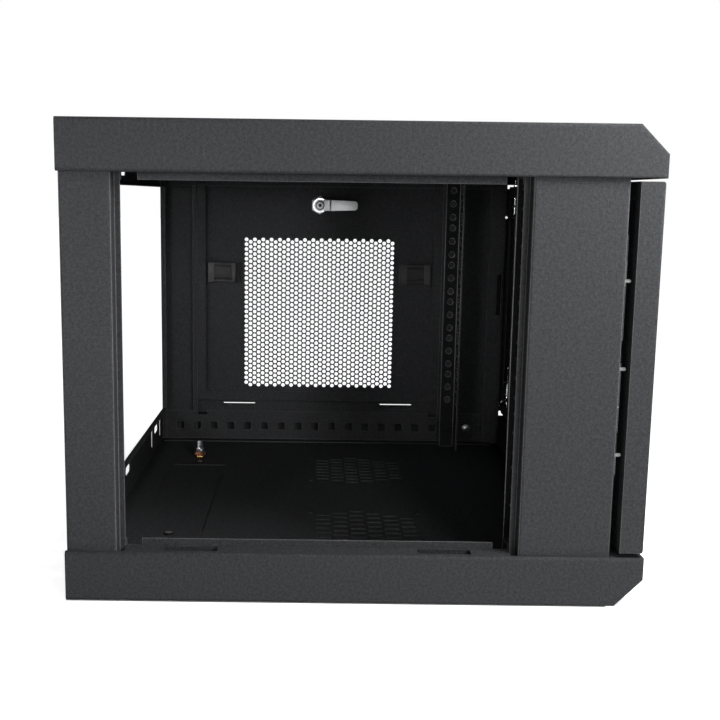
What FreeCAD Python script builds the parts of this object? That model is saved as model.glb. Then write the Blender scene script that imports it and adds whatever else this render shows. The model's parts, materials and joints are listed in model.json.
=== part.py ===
"""Wall mount network cabinet, 6 rack units, with its left side panel and its rear left open.

Millimetres. +Z is up, +X is the right side seen from the front, and the front faces -Y.
The origin is the middle of the base. Places along the depth are given as a reach: the
distance from the rear plane towards the front, so that Y = depth / 2 - reach.
"""
import FreeCAD
import Part
import Sketcher
import math
import os

Vector = FreeCAD.Vector

SIZES = (
    # overall cabinet
    ("width", 600.0),
    ("depth", 450.0),
    ("height", 368.0),
    ("gauge", 1.2),
    ("post_gauge", 1.5),
    ("running_gap", 0.1),
    ("hole_gap", 0.05),
    ("mouth_gap", 0.2),
    ("seat_gap", 0.4),
    # covers: a pan with a deep trim, a chamfered nose and a plate set in from the rim
    ("trim", 39.0),
    ("chamfer_drop", 21.5),
    ("bend", 2.4),
    ("plate_rise", 6.4),
    ("rim", 21.8),
    ("nose_ledge", 25.5),
    ("cable_half", 136.0),
    ("cable_back", 31.0),
    ("cable_depth", 60.0),
    ("cable_lap", 14.0),
    ("cable_screw_pitch", 8.0),
    ("fan_offset", 118.0),
    ("fan_reach", 242.7),
    ("fan_screw_pitch", 105.0),
    ("fan_screw_bore", 4.5),
    ("vent_radius", 60.0),
    ("vent_column", 16.1),
    ("vent_row", 14.5),
    ("vent_length", 13.5),
    ("vent_slit", 5.0),
    # posts
    ("post_inset", 5.0),
    ("rear_post_back", 0.6),
    ("rear_post_front", 40.0),
    ("rear_post_return", 21.5),
    ("rear_post_lip", 6.0),
    ("front_post_inset", 26.0),
    ("front_post_width", 72.0),
    ("front_post_return", 25.0),
    ("front_post_lip", 20.0),
    ("seat_depth", 13.0),
    ("seat_width", 4.6),
    # depth rails with square holes
    ("rail_rise", 5.6),
    ("rail_back", 4.0),
    ("rail_front_inset", 36.0),
    ("rail_foot", 15.0),
    ("rail_notch", 12.0),
    ("square_hole", 9.5),
    ("square_first", 23.1),
    ("square_pitch", 21.2),
    ("square_height", 25.5),
    # rear flanges with the wall fixing slots
    ("flange_rise", 47.0),
    ("flange_lip", 7.0),
    ("wall_slot_offset", 212.0),
    ("wall_slot_length", 28.0),
    ("wall_slot_width", 9.0),
    ("wall_slot_height", 33.0),
    ("tall_slot_offset", 35.0),
    ("tall_slot_length", 20.0),
    ("tall_slot_width", 10.0),
    # 19 inch mounting rails
    ("rack_spacing", 465.1),
    ("rack_unit", 44.45),
    ("rack_inner_step", 15.875),
    ("rack_edge_step", 6.35),
    ("rack_base", 61.0),
    ("rack_headroom", 35.0),
    ("rack_inset", 83.5),
    ("rack_gauge", 2.0),
    ("rack_flange", 29.0),
    ("rack_side", 19.0),
    ("rack_outer", 250.5),
    ("rack_side_bore", 7.0),
    ("bracket_bottom", 12.0),
    ("bracket_height", 28.0),
    ("bracket_wall", 16.0),
    ("bracket_end", 10.0),
    ("screw_bore", 6.0),
    ("screw_head", 10.0),
    ("screw_head_height", 3.2),
    # door
    ("door_side_gap", 2.3),
    ("door_bottom_gap", 3.6),
    ("door_top_gap", 2.2),
    ("door_depth", 18.9),
    ("door_hinge_return", 3.3),
    ("door_front_inset", 0.6),
    ("door_border", 70.0),
    ("door_bar", 42.0),
    ("door_lip", 12.0),
    ("glass_thickness", 4.0),
    ("glass_lap", 10.0),
    ("gasket_thickness", 1.5),
    ("gasket_width", 9.0),
    ("hinge_inset", 9.6),
    ("hinge_standoff", 6.3),
    ("pin_radius", 3.0),
    ("pin_engage", 7.5),
    ("pin_travel", 9.0),
    ("pin_arm_radius", 2.25),
    ("pin_arm_length", 46.0),
    ("pin_arm_angle", 21.5),
    ("pin_arm_drop_top", 36.5),
    ("pin_arm_rise_bottom", 18.0),
    ("pin_ball_rise", 58.5),
    ("pin_rod_radius", 1.7),
    ("pin_ball_radius", 3.3),
    ("pin_collar_radius", 4.6),
    ("spring_radius", 4.0),
    ("spring_wire", 0.45),
    ("spring_length", 15.8),
    ("spring_turns", 5.0),
    ("buffer_radius", 2.6),
    ("buffer_pitch", 67.0),
    ("buffer_rise", 2.0),
    # locks
    ("lock_rise", 11.0),
    ("lock_clear_lip", 13.0),
    ("lock_slot_length", 50.0),
    ("lock_slot_width", 5.0),
    ("lock_slot_inset", 6.0),
    ("lock_barrel_radius", 9.0),
    ("lock_head_radius", 11.0),
    ("lock_nut_radius", 11.5),
    ("lock_nut_thickness", 3.5),
    ("door_cam_length", 26.0),
    ("cam_gauge", 2.0),
    ("cam_half", 5.0),
    ("cam_hub", 8.0),
    # side panel
    ("panel_edge_gap", 1.0),
    ("panel_bottom_gap", 1.5),
    ("panel_top_gap", 0.9),
    ("panel_side_lip", 14.0),
    ("panel_sill", 17.0),
    ("panel_sill_lip", 13.0),
    ("panel_top_lip", 5.0),
    ("panel_tab_width", 40.0),
    ("panel_tab_offset", 99.5),
    ("panel_tab_drop", 9.0),
    ("panel_tab_inset", 7.6),
    ("panel_tab_rise", 10.0),
    ("panel_tab_slot", 13.8),
    ("panel_slit", 2.4),
    ("panel_slit_rise", 11.6),
    ("grille_side", 62.0),
    ("grille_head", 65.5),
    ("grille_base", 74.0),
    ("grille_pitch", 22.0),
    ("grille_hole", 9.8),
    ("panel_lock_drop", 26.6),
    ("panel_cam_length", 41.0),
    ("panel_cam_jog", 14.0),
    ("panel_cam_step", 4.0),
    ("latch_length", 37.3),
    ("latch_height", 24.6),
    ("latch_rise", 22.0),
    ("latch_reach", 58.6),
    ("latch_window", 22.6),
    ("latch_bolt", 30.0),
    ("latch_bolt_height", 16.0),
    ("latch_wall", 1.6),
    ("latch_throw", 17.0),
    # earth stud
    ("earth_offset", 168.0),
    ("earth_reach", 58.6),
    ("earth_radius", 3.0),
    ("earth_height", 22.0),
)


class Dim:
    """A size that carries both its number and the spreadsheet expression for it."""

    def __init__(self, value, text):
        self.value = float(value)
        self.text = text

    def __add__(self, other):
        other = dim(other)
        return Dim(self.value + other.value, "(%s + %s)" % (self.text, other.text))

    def __sub__(self, other):
        other = dim(other)
        return Dim(self.value - other.value, "(%s - %s)" % (self.text, other.text))

    def __mul__(self, factor):
        factor = dim(factor)
        return Dim(self.value * factor.value, "(%s * %s)" % (self.text, factor.text))

    def __truediv__(self, divisor):
        divisor = dim(divisor)
        return Dim(self.value / divisor.value, "(%s / %s)" % (self.text, divisor.text))

    def whole(self):
        """The whole number below it."""
        return Dim(math.floor(self.value), "floor(%s)" % self.text)

    def __neg__(self):
        return Dim(-self.value, "(-1 * %s)" % self.text)

    __radd__ = __add__
    __rmul__ = __mul__


def dim(number):
    """Wrap a plain number, and pass a Dim through."""
    if isinstance(number, Dim):
        return number
    return Dim(number, repr(float(number)))


class Sizes:
    """The driving sizes by name."""


doc = FreeCAD.newDocument("wall_cabinet")
sheet = doc.addObject("Spreadsheet::Sheet", "Sizes")
S = Sizes()
for row, (name, value) in enumerate(SIZES, start=1):
    sheet.set("A%d" % row, name)
    sheet.set("B%d" % row, str(value))
    sheet.setAlias("B%d" % row, name)
    setattr(S, name, Dim(value, "Sizes." + name))
doc.recompute()

pieces = []


def piece(obj, node):
    """Name an object as a finished sub-part."""
    obj.Label = node
    pieces.append(obj)
    return obj


def bind(obj, prop, size):
    """Set a property and tie it to its spreadsheet expression."""
    obj.setExpression(prop, dim(size).text)


def at_reach(reach):
    """Y of a place that is a reach in front of the rear plane."""
    return S.depth / 2 - reach


def place(obj, x, y, z, rotation=None):
    """Put an object's local origin at x, y, z."""
    x, y, z = dim(x), dim(y), dim(z)
    turn = rotation or FreeCAD.Rotation()
    obj.Placement = FreeCAD.Placement(Vector(x.value, y.value, z.value), turn)
    bind(obj, "Placement.Base.x", x)
    bind(obj, "Placement.Base.y", y)
    bind(obj, "Placement.Base.z", z)
    return obj


def block(name, xs, reaches, zs):
    """A box between two places along each axis."""
    box = doc.addObject("Part::Box", name)
    bind(box, "Length", dim(xs[1]) - xs[0])
    bind(box, "Width", dim(reaches[1]) - reaches[0])
    bind(box, "Height", dim(zs[1]) - zs[0])
    return place(box, xs[0], at_reach(reaches[1]), zs[0])


SMALL_ROUND = 8
LARGE_ROUND = 16
TURNS = {
    "z": FreeCAD.Rotation(),
    "x": FreeCAD.Rotation(Vector(0, 1, 0), 90),
    "reach": FreeCAD.Rotation(Vector(1, 0, 0), 90),
}


def rod(name, axis, start, radius, length):
    """A cylinder from start = (x, reach, z) along +X, +Z or towards the front."""
    cylinder = doc.addObject("Part::Cylinder", name)
    bind(cylinder, "Radius", radius)
    bind(cylinder, "Height", length)
    return place(cylinder, start[0], at_reach(start[1]), start[2], TURNS[axis])


def prism(name, axis, start, radius, length, sides=SMALL_ROUND):
    """An upright prism inside a radius; small round work is drawn this way."""
    bar = doc.addObject("Part::Prism", name)
    bar.Polygon = int(sides)
    bind(bar, "Circumradius", radius)
    bind(bar, "Height", length)
    return place(bar, start[0], at_reach(start[1]), start[2], TURNS[axis])


def hexagon(name, axis, start, across_flats, length):
    """A hexagonal prism, such as a nut."""
    return prism(name, axis, start, dim(across_flats) / math.sqrt(3.0), length, 6)


def join(name, shapes):
    """Several touching solids as one."""
    fuse = doc.addObject("Part::MultiFuse", name)
    fuse.Shapes = shapes
    fuse.Refine = True
    return fuse


def group(name, shapes):
    """Identical pieces that share one node and stay separate solids."""
    compound = doc.addObject("Part::Compound", name)
    compound.Links = shapes
    return compound


def cut(name, base, tools):
    """A solid less its holes."""
    result = doc.addObject("Part::Cut", name)
    result.Base = base
    result.Tool = tools[0] if len(tools) == 1 else group(name + "_tools", tools)
    return result


def mirror_x(name, source):
    """The other side's copy of a right-hand piece."""
    copy = doc.addObject("Part::Mirroring", name)
    copy.Source = source
    copy.Normal = Vector(1, 0, 0)
    return copy


def mirror_z(name, source):
    """The roof's copy of a piece on the base."""
    copy = doc.addObject("Part::Mirroring", name)
    copy.Source = source
    copy.Normal = Vector(0, 0, 1)
    bind(copy, "Base.z", S.height / 2)
    return copy


PLANES = {"plan": "XY_Plane", "side": "YZ_Plane", "front": "XZ_Plane"}


def sketch_on(body, name, plane, offset):
    """An empty sketch on one of a body's own planes, moved along its normal."""
    drawing = body.newObject("Sketcher::SketchObject", name)
    origin_plane = [f for f in body.Origin.OriginFeatures if f.Role == PLANES[plane]][0]
    drawing.AttachmentSupport = [(origin_plane, "")]
    drawing.MapMode = "FlatFace"
    bind(drawing, "AttachmentOffset.Base.z", offset)
    return drawing


def draw_loop(drawing, corners):
    """A closed outline whose corners are tied to the sizes."""
    corners = [(dim(a), dim(b)) for a, b in corners]
    first = drawing.GeometryCount
    count = len(corners)
    for i, (a, b) in enumerate(corners):
        c, d = corners[(i + 1) % count]
        line = Part.LineSegment(Vector(a.value, b.value, 0), Vector(c.value, d.value, 0))
        drawing.addGeometry(line, False)
    for i in range(count):
        link = Sketcher.Constraint("Coincident", first + i, 2, first + (i + 1) % count, 1)
        drawing.addConstraint(link)
    for i, (a, b) in enumerate(corners):
        for kind, size in (("DistanceX", a), ("DistanceY", b)):
            rule = Sketcher.Constraint(kind, -1, 1, first + i, 1, size.value)
            index = drawing.addConstraint(rule)
            drawing.setExpression("Constraints[%d]" % index, size.text)


def corners_on(plane, corners):
    """Turn (place, reach or height) corners into the sketch plane's own axes."""
    if plane == "plan":
        return [(x, at_reach(reach)) for x, reach in corners]
    if plane == "side":
        return [(at_reach(reach), z) for reach, z in corners]
    return corners


def padded(name, plane, corners, start, length):
    """A body padded from one outline: along +Z, +X or towards the front."""
    body = doc.addObject("PartDesign::Body", name)
    offset = dim(start) - S.depth / 2 if plane == "front" else dim(start)
    drawing = sketch_on(body, name + "_outline", plane, offset)
    draw_loop(drawing, corners_on(plane, corners))
    pad = body.newObject("PartDesign::Pad", name + "_pad")
    pad.Profile = drawing
    bind(pad, "Length", length)
    return body


def rounded_bends(line, inner, outer, way):
    """A folded line with every corner rounded; way tells which turns have the outer radius."""
    corners = [line[0]]
    for before, here, after in zip(line, line[1:], line[2:]):
        turns = []
        for start, end in ((before, here), (here, after)):
            run, rise = end[0].value - start[0].value, end[1].value - start[1].value
            span = abs(run) + abs(rise)
            turns.append((round(run / span), round(rise / span)))
        (a, b), (c, d) = turns
        radius = outer if (a * d - b * c) * way > 0 else inner
        for angle in BEND_STEPS:
            back = 1 - math.sin(math.radians(angle))
            on = 1 - math.cos(math.radians(angle))
            corners.append((here[0] + radius * (c * on - a * back),
                            here[1] + radius * (d * on - b * back)))
    return corners + [line[-1]]


BEND_STEPS = (0, 45, 90)
BEND_INNER = 0.5
BEND_OUTER = 1.5


def folded(path, gauge):
    """Outline of a sheet folded at right angles: its path, then back one gauge to the left."""
    path = [(dim(a), dim(b)) for a, b in path]
    normals = []
    for (a, b), (c, d) in zip(path, path[1:]):
        run, rise = c.value - a.value, d.value - b.value
        span = abs(run) + abs(rise)
        normals.append((-rise / span, run / span))
    back = []
    for i, (a, b) in enumerate(path):
        touching = set(normals[max(i - 1, 0):i + 1])
        side = sum(n[0] for n in touching)
        lift = sum(n[1] for n in touching)
        back.append((a + gauge * round(side), b + gauge * round(lift)))
    sheet = dim(gauge)
    way = 1 if sheet.value > 0 else -1
    size = sheet * way
    front = rounded_bends(path, size * BEND_INNER, size * BEND_OUTER, way)
    rear = rounded_bends(back, size * BEND_INNER, size * BEND_OUTER, -way)
    return front + rear[::-1]


# ---------------------------------------------------------------- shared places
side = S.width / 2
plate_top = S.plate_rise + S.gauge
post_face = side - S.post_inset
seat_face = post_face - S.seat_depth
trim_top = S.height - S.trim
front_post_front = S.depth - S.front_post_inset
front_post_back = front_post_front - S.front_post_width
rail_face = side - S.rim
rail_inner = rail_face - S.gauge
rail_top = S.trim + S.rail_rise
cover_half = side - S.gauge
post_foot = plate_top + S.gauge
ledge_back = S.rear_post_front + S.seat_width + 0.5
ledge_front = front_post_back - S.seat_width - 0.5
rail_front = S.depth - S.rail_front_inset
lock_height = S.height / 2 + S.lock_rise
lock_slot_reach = front_post_front - S.lock_slot_inset


# ---------------------------------------------------------------- covers
def vent_slots(name, middle):
    """The round field of short slots of one fan place."""
    slots = []
    for column in range(6):
        offset = S.vent_column * (column - 2.5)
        reach = S.fan_reach + offset
        half = math.sqrt(S.vent_radius.value ** 2 - offset.value ** 2)
        shift = 0.5 * (column % 2)
        rows = int(half / S.vent_row.value + 1)
        for row in range(-rows, rows + 1):
            place_x = S.vent_row * (row + shift)
            if abs(place_x.value) > half:
                continue
            x = dim(middle) + place_x
            slots.append(block(
                "%s_%d_%d" % (name, column, row + rows),
                (x - S.vent_slit / 2, x + S.vent_slit / 2),
                (reach - S.vent_length / 2, reach + S.vent_length / 2),
                (S.plate_rise - 1, plate_top + 1)))
    return slots


def fan_screw_holes(name, middle):
    """The four fixing holes of one fan."""
    half = S.fan_screw_pitch / 2
    return [rod("%s_%d" % (name, i), "z",
                (dim(middle) + half * a, S.fan_reach + half * b, S.plate_rise - 1),
                S.fan_screw_bore / 2, S.gauge + 2)
            for i, (a, b) in enumerate(((-1, -1), (1, -1), (1, 1), (-1, 1)))]


CABLE_SCREW = 2.0


def cable_screw_places():
    """The two fixings of a cable entry cover."""
    reach = S.cable_back + S.cable_depth / 2
    return [(sign * (S.cable_half + S.cable_screw_pitch), reach) for sign in (-1, 1)]


def make_cover():
    """The base: trims, chamfered nose, ledges and the vented plate."""
    outline = ((0, 0), (S.depth - S.chamfer_drop, 0), (S.depth, S.chamfer_drop),
               (S.depth, S.trim), (0, S.trim))
    body = padded("cover", "side", outline, -side, S.width)
    doc.recompute()
    pad = body.Tip
    long_edges = []
    for number, edge in enumerate(pad.Shape.Edges, start=1):
        ends = [vertex.Point for vertex in edge.Vertexes]
        on_side = abs(ends[0].x - ends[1].x) < 0.01
        low = all(end.z < S.chamfer_drop.value + 0.01 for end in ends)
        nose = all(end.y < -S.depth.value / 2 + 0.01 for end in ends)
        top = all(end.z > S.trim.value - 0.01 for end in ends) and abs(ends[0].y - ends[1].y) > 1
        if on_side and (low or nose or top):
            long_edges.append("Edge%d" % number)
    round_over = body.newObject("PartDesign::Fillet", "cover_bends")
    round_over.Base = (pad, long_edges)
    bind(round_over, "Radius", S.bend)
    doc.recompute()

    inner_nose = S.depth - S.gauge
    slope_step = S.gauge * (math.sqrt(2.0) - 1)
    web = S.depth - S.chamfer_drop - S.rim
    hollow = padded("cover_hollow", "side", (
        (S.gauge, plate_top),
        (web + S.gauge, plate_top),
        (web + S.gauge, S.gauge),
        (S.depth - S.chamfer_drop - slope_step, S.gauge),
        (inner_nose, S.chamfer_drop + slope_step),
        (inner_nose, S.trim - S.gauge),
        (S.gauge, S.trim - S.gauge)), -cover_half, cover_half * 2)
    tools = [hollow]
    # the rim runs lower than the plate, so each side holds a shallow trough outside the rails
    for sign, tag in ((1, "right"), (-1, "left")):
        low, high = sorted((sign * rail_face, sign * cover_half), key=lambda d: d.value)
        tools.append(block("trough_" + tag, (low, high),
                           (S.gauge, web + S.gauge + 1), (S.gauge, plate_top + 1)))
    # open top: wide at the posts, closed along the sides by ledges that reach the depth rails
    above = (S.trim - S.gauge - 0.5, S.trim + 1)
    nose_back = S.depth - S.nose_ledge
    at_post = post_face + S.mouth_gap
    tools.append(block("mouth", (-rail_face, rail_face), (-1, nose_back), above))
    tools.append(block("rear_mouth", (-at_post, at_post), (S.gauge, ledge_back), above))
    tools.append(block("front_mouth", (-at_post, at_post), (ledge_front, nose_back), above))
    tools.append(block("rear_gate", (-at_post, at_post), (-1, S.gauge + 1),
                       (plate_top, S.trim + 1)))
    # the plate is set in from below
    tools.append(block("recess", (-rail_inner, rail_inner),
                       (-1, web), (-1, S.plate_rise)))
    # each side panel stands with two tabs in slots of the ledge
    for number, sign in enumerate((1, -1)):
        for tag, reach in (("rear", panel_middle - S.panel_tab_offset),
                           ("front", panel_middle + S.panel_tab_offset)):
            low, high = sorted((sign * (slot_outer - S.panel_tab_slot), sign * slot_outer),
                               key=lambda d: d.value)
            half = S.panel_tab_width / 2 + 1
            tools.append(block("tab_slot_%s_%d" % (tag, number), (low, high),
                               (reach - half, reach + half), above))
    tools.append(block("cable_entry", (-S.cable_half, S.cable_half),
                       (S.cable_back, S.cable_back + S.cable_depth),
                       (S.plate_rise - 1, plate_top + 1)))
    for number, (x, reach) in enumerate(cable_screw_places()):
        tools.append(prism("cable_screw_hole_%d" % number, "z", (x, reach, S.plate_rise - 1),
                           CABLE_SCREW + 0.1, S.gauge + 2))
    tools.append(rod("hinge_hole", "z", (hinge_x, hinge_reach, S.trim - S.gauge - 1),
                     S.pin_radius + S.running_gap, S.gauge + 2))
    tools.append(rod("earth_hole", "z", (S.earth_offset, S.earth_reach, S.plate_rise - 1),
                     S.earth_radius, S.gauge + 2))
    for tag, sign in (("right", 1), ("left", -1)):
        tools += vent_slots("vent_" + tag, S.fan_offset * sign)
        tools += fan_screw_holes("fan_hole_" + tag, S.fan_offset * sign)
    return cut("bottom_cover_shape", body, tools)


panel_back = S.rear_post_front + S.panel_edge_gap
panel_front = front_post_back - S.panel_edge_gap
panel_middle = (panel_back + panel_front) / 2
slot_outer = side - S.panel_tab_inset + 0.6
door_half = side - S.door_side_gap
hinge_x = side - S.hinge_inset
door_front = S.depth - S.door_front_inset
door_back = door_front - S.door_depth
hinge_reach = door_back + S.hinge_standoff

bottom_cover = piece(make_cover(), "bottom_cover")
top_cover = piece(mirror_z("top_cover_shape", bottom_cover), "top_cover")


def make_cable_cover():
    """The plate under a cable entry."""
    lap = S.cable_lap
    plate = block("cable_plate", (-S.cable_half - lap, S.cable_half + lap),
                  (S.cable_back - lap / 2, S.cable_back + S.cable_depth + lap / 2),
                  (S.plate_rise - S.gauge, S.plate_rise))
    holes = [prism("cable_plate_hole_%d" % i, "z", (x, reach, 0), CABLE_SCREW + 0.1,
                   S.plate_rise + 1)
             for i, (x, reach) in enumerate(cable_screw_places())]
    return cut("cable_cover_shape", plate, holes)


def pan_screw(name, x, reach, z, shank, head, height, length):
    """A pan head screw whose head stands on z."""
    body = prism(name + "_shank", "z", (x, reach, dim(z) - length), shank, length)
    top = prism(name + "_head", "z", (x, reach, z), head, height)
    return join(name, [body, top])


cable_cover_bottom = piece(make_cable_cover(), "cable_cover_bottom")
cable_cover_top = piece(mirror_z("cable_cover_top_shape", cable_cover_bottom), "cable_cover_top")
floor_screws = group("floor_screws", [
    pan_screw("cable_screw_%d" % i, x, reach, plate_top, CABLE_SCREW, 3.6, 2.0, S.gauge * 2 + 1)
    for i, (x, reach) in enumerate(cable_screw_places())])
piece(group("cable_cover_screws_shape",
            [floor_screws, mirror_z("roof_screws", floor_screws)]), "cable_cover_screws")


# ---------------------------------------------------------------- depth rails
def make_depth_rail():
    """An angle along the side of the base, with a row of square holes."""
    rail = padded("depth_rail", "front",
                  folded(((rail_inner - S.rail_foot, plate_top), (rail_face, plate_top),
                          (rail_face, rail_top)), S.gauge),
                  S.rail_back, rail_front - S.rail_back)
    hole = sketch_on(rail, "square_hole_outline", "side", rail_inner - 1)
    half = S.square_hole / 2
    draw_loop(hole, corners_on("side", (
        (S.square_first - half, S.square_height - half),
        (S.square_first + half, S.square_height - half),
        (S.square_first + half, S.square_height + half),
        (S.square_first - half, S.square_height + half))))
    pocket = rail.newObject("PartDesign::Pocket", "square_hole_pocket")
    pocket.Profile = hole
    pocket.Reversed = True
    bind(pocket, "Length", S.gauge + 2)
    count = ((rail_front - S.square_first - 5) / S.square_pitch).whole() + 1
    row = rail.newObject("PartDesign::LinearPattern", "square_hole_row")
    row.Originals = [pocket]
    row.Direction = (hole, ["H_Axis"])
    row.Reversed = True
    bind(row, "Length", S.square_pitch * (count - 1))
    bind(row, "Occurrences", count)
    rail.Tip = row
    notch_z = (S.trim, rail_top + 1)
    faces = (rail_inner - 1, rail_face + 1)
    return cut("depth_rail_shape", rail, [
        block("rail_notch_rear", faces, (ledge_back, ledge_back + S.rail_notch), notch_z),
        block("rail_notch_front", faces, (ledge_front - S.rail_notch, ledge_front), notch_z)])


base_rail_right = piece(make_depth_rail(), "base_rail_right")
base_rail_left = piece(mirror_x("base_rail_left_shape", base_rail_right), "base_rail_left")
piece(mirror_z("roof_rail_right_shape", base_rail_right), "roof_rail_right")
piece(mirror_z("roof_rail_left_shape", base_rail_left), "roof_rail_left")


# ---------------------------------------------------------------- rear flanges
def make_rear_flange():
    """The upright strip across the rear, with the wall fixing slots."""
    half = post_face - S.rear_post_return - 1
    strip = padded("rear_strip", "side",
                   folded(((S.flange_lip, S.flange_rise), (0, S.flange_rise), (0, plate_top)),
                          S.gauge),
                   -half, half * 2)
    through = (-1, S.gauge + 1)
    holes = []
    for number, x in enumerate((-S.wall_slot_offset, dim(0), S.wall_slot_offset)):
        slot_half = (S.wall_slot_length - S.wall_slot_width) / 2
        radius = S.wall_slot_width / 2
        z = S.wall_slot_height
        holes.append(block("wall_slot_%d" % number, (x - slot_half, x + slot_half), through,
                           (z - radius, z + radius)))
        for end in (-1, 1):
            holes.append(rod("wall_slot_%d_%d" % (number, end + 1), "reach",
                             (x + slot_half * end, -1, z), radius, S.gauge + 2))
    for number, x in enumerate((-S.wall_slot_offset, S.wall_slot_offset)):
        for end in (-1, 1):
            middle = x + S.tall_slot_offset * end
            low = S.wall_slot_height + S.wall_slot_width / 2 - S.tall_slot_length
            holes.append(block("tall_slot_%d_%d" % (number, end + 1),
                               (middle - S.tall_slot_width / 2, middle + S.tall_slot_width / 2),
                               through, (low, low + S.tall_slot_length)))
    return cut("rear_flange_shape", strip, holes)


rear_flange_bottom = piece(make_rear_flange(), "rear_flange_bottom")
piece(mirror_z("rear_flange_top_shape", rear_flange_bottom), "rear_flange_top")


# ---------------------------------------------------------------- posts
def make_rear_post():
    """A rolled corner post with a lip at the rear and a seat for the side panel."""
    lip_x = post_face - S.rear_post_return
    back = S.rear_post_back
    path = ((seat_face, S.rear_post_front + S.seat_width), (seat_face, S.rear_post_front),
            (post_face, S.rear_post_front), (post_face, back), (lip_x, back),
            (lip_x, back + S.rear_post_lip))
    return padded("rear_post", "plan", folded(path, -S.post_gauge), post_foot,
                  S.height - post_foot * 2)


def make_front_post():
    """A wide corner post: panel seat, outer face, front face and a lip with the lock slot."""
    lip_x = post_face - S.front_post_return
    path = ((lip_x, front_post_front - S.front_post_lip), (lip_x, front_post_front),
            (post_face, front_post_front), (post_face, front_post_back),
            (seat_face, front_post_back), (seat_face, front_post_back - S.seat_width))
    post = padded("front_post", "plan", folded(path, -S.post_gauge), post_foot,
                  S.height - post_foot * 2)
    half = S.lock_slot_length / 2
    width = S.lock_slot_width / 2
    slot = block("lock_slot", (lip_x - 1, lip_x + S.post_gauge + 1),
                 (lock_slot_reach - width, lock_slot_reach + width),
                 (lock_height - half, lock_height + half))
    return cut("front_post_shape", post, [slot])


rear_post_right = piece(make_rear_post(), "rear_post_right")
piece(mirror_x("rear_post_left_shape", rear_post_right), "rear_post_left")
front_post_right = piece(make_front_post(), "front_post_right")
piece(mirror_x("front_post_left_shape", front_post_right), "front_post_left")


# ---------------------------------------------------------------- 19 inch rails
rack_front = S.depth - S.rack_inset


def rack_hole_heights():
    """Three holes in each rack unit."""
    heights = []
    units = ((S.height - S.rack_base - S.rack_headroom) / S.rack_unit).whole()
    for unit in range(int(units.value)):
        base = S.rack_base + S.rack_unit * unit + S.rack_edge_step
        heights += [base + S.rack_inner_step * step for step in range(3)]
    return heights


def make_mounting_rail():
    """A right-hand rail: front flange with square holes and side flange with round ones."""
    bottom = plate_top + 0.3
    path = ((S.rack_outer - S.rack_flange, rack_front), (S.rack_outer, rack_front),
            (S.rack_outer, rack_front - S.rack_side))
    rail = padded("mounting_rail", "plan", folded(path, -S.rack_gauge), bottom,
                  S.height - bottom * 2)
    holes = []
    half = S.square_hole / 2
    x = S.rack_spacing / 2
    reach = rack_front - S.rack_side / 2 - 1
    for number, z in enumerate(rack_hole_heights()):
        holes.append(block("rack_hole_%d" % number, (x - half, x + half),
                           (rack_front - S.rack_gauge - 1, rack_front + 1),
                           (z - half, z + half)))
        holes.append(prism("rack_side_hole_%d" % number, "x",
                           (S.rack_outer - S.rack_gauge - 1, reach, z),
                           S.rack_side_bore / 2, S.rack_gauge + 2))
    return cut("mounting_rail_shape", rail, holes)


mounting_rail_right = piece(make_mounting_rail(), "mounting_rail_right")
piece(mirror_x("mounting_rail_left_shape", mounting_rail_right), "mounting_rail_left")

bracket_back = rack_front - S.rack_side
first_square = ((bracket_back + S.bracket_wall / 2 - S.square_first) / S.square_pitch).whole() + 1
bracket_screws = [S.square_first + S.square_pitch * (first_square + place) for place in (0, 1)]


def make_rail_bracket():
    """The folded foot that ties a mounting rail to a depth rail."""
    path = ((S.rack_outer, rack_front - 1), (S.rack_outer, bracket_back),
            (rail_inner, bracket_back), (rail_inner, bracket_screws[1] + S.bracket_end))
    foot = padded("rail_bracket", "plan", folded(path, S.rack_gauge), S.bracket_bottom,
                  S.bracket_height)
    holes = [prism("bracket_hole_%d" % i, "x", (rail_inner - S.rack_gauge - 1, reach,
                                               S.square_height), S.screw_bore / 2, S.rack_gauge + 2)
             for i, reach in enumerate(bracket_screws)]
    return cut("rail_bracket_shape", foot, holes)


def four_corners(name, source):
    """A piece on the right of the base, repeated on the left and under the roof."""
    left = mirror_x(name + "_left", source)
    return group(name, [source, left, mirror_z(name + "_roof_right", source),
                        mirror_z(name + "_roof_left", left)])


def make_rail_screws():
    """Two screws through each foot and its depth rail."""
    screws = []
    for number, reach in enumerate(bracket_screws):
        inner = rail_inner - S.rack_gauge
        z = S.square_height
        shank = prism("rail_screw_%d_shank" % number, "x", (inner, reach, z),
                      S.screw_bore / 2 - S.hole_gap, S.rack_gauge + S.gauge + 8)
        head = prism("rail_screw_%d_head" % number, "x", (inner - S.screw_head_height, reach, z),
                     S.screw_head / 2, S.screw_head_height)
        recess = hexagon("rail_screw_%d_socket" % number, "x",
                         (inner - S.screw_head_height - 1, reach, z), 4.0, 3.0)
        screws.append(cut("rail_screw_%d" % number,
                          join("rail_screw_%d_blank" % number, [shank, head]), [recess]))
    return group("rail_screw_pair", screws)


def make_cage_nuts():
    """Two cage nuts: a square nut in a spring cage snapped into the square hole."""
    nuts = []
    for number, reach in enumerate(bracket_screws):
        z = S.square_height
        half = S.square_hole / 2 - 0.2
        neck = block("cage_neck_%d" % number, (rail_inner, rail_face),
                     (reach - half, reach + half), (z - half, z + half))
        cage = block("cage_body_%d" % number, (rail_face, rail_face + 5),
                     (reach - half - 1.5, reach + half + 1.5), (z - half - 1, z + half + 1))
        bore = prism("cage_bore_%d" % number, "x", (rail_inner - 1, reach, z), S.screw_bore / 2,
                     10)
        nuts.append(cut("cage_nut_%d" % number,
                        join("cage_blank_%d" % number, [neck, cage]), [bore]))
    return group("cage_nut_pair", nuts)


piece(four_corners("rail_brackets_shape", make_rail_bracket()), "rail_brackets")
piece(four_corners("rail_screws_shape", make_rail_screws()), "rail_screws")
piece(four_corners("cage_nuts_shape", make_cage_nuts()), "cage_nuts")


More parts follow.
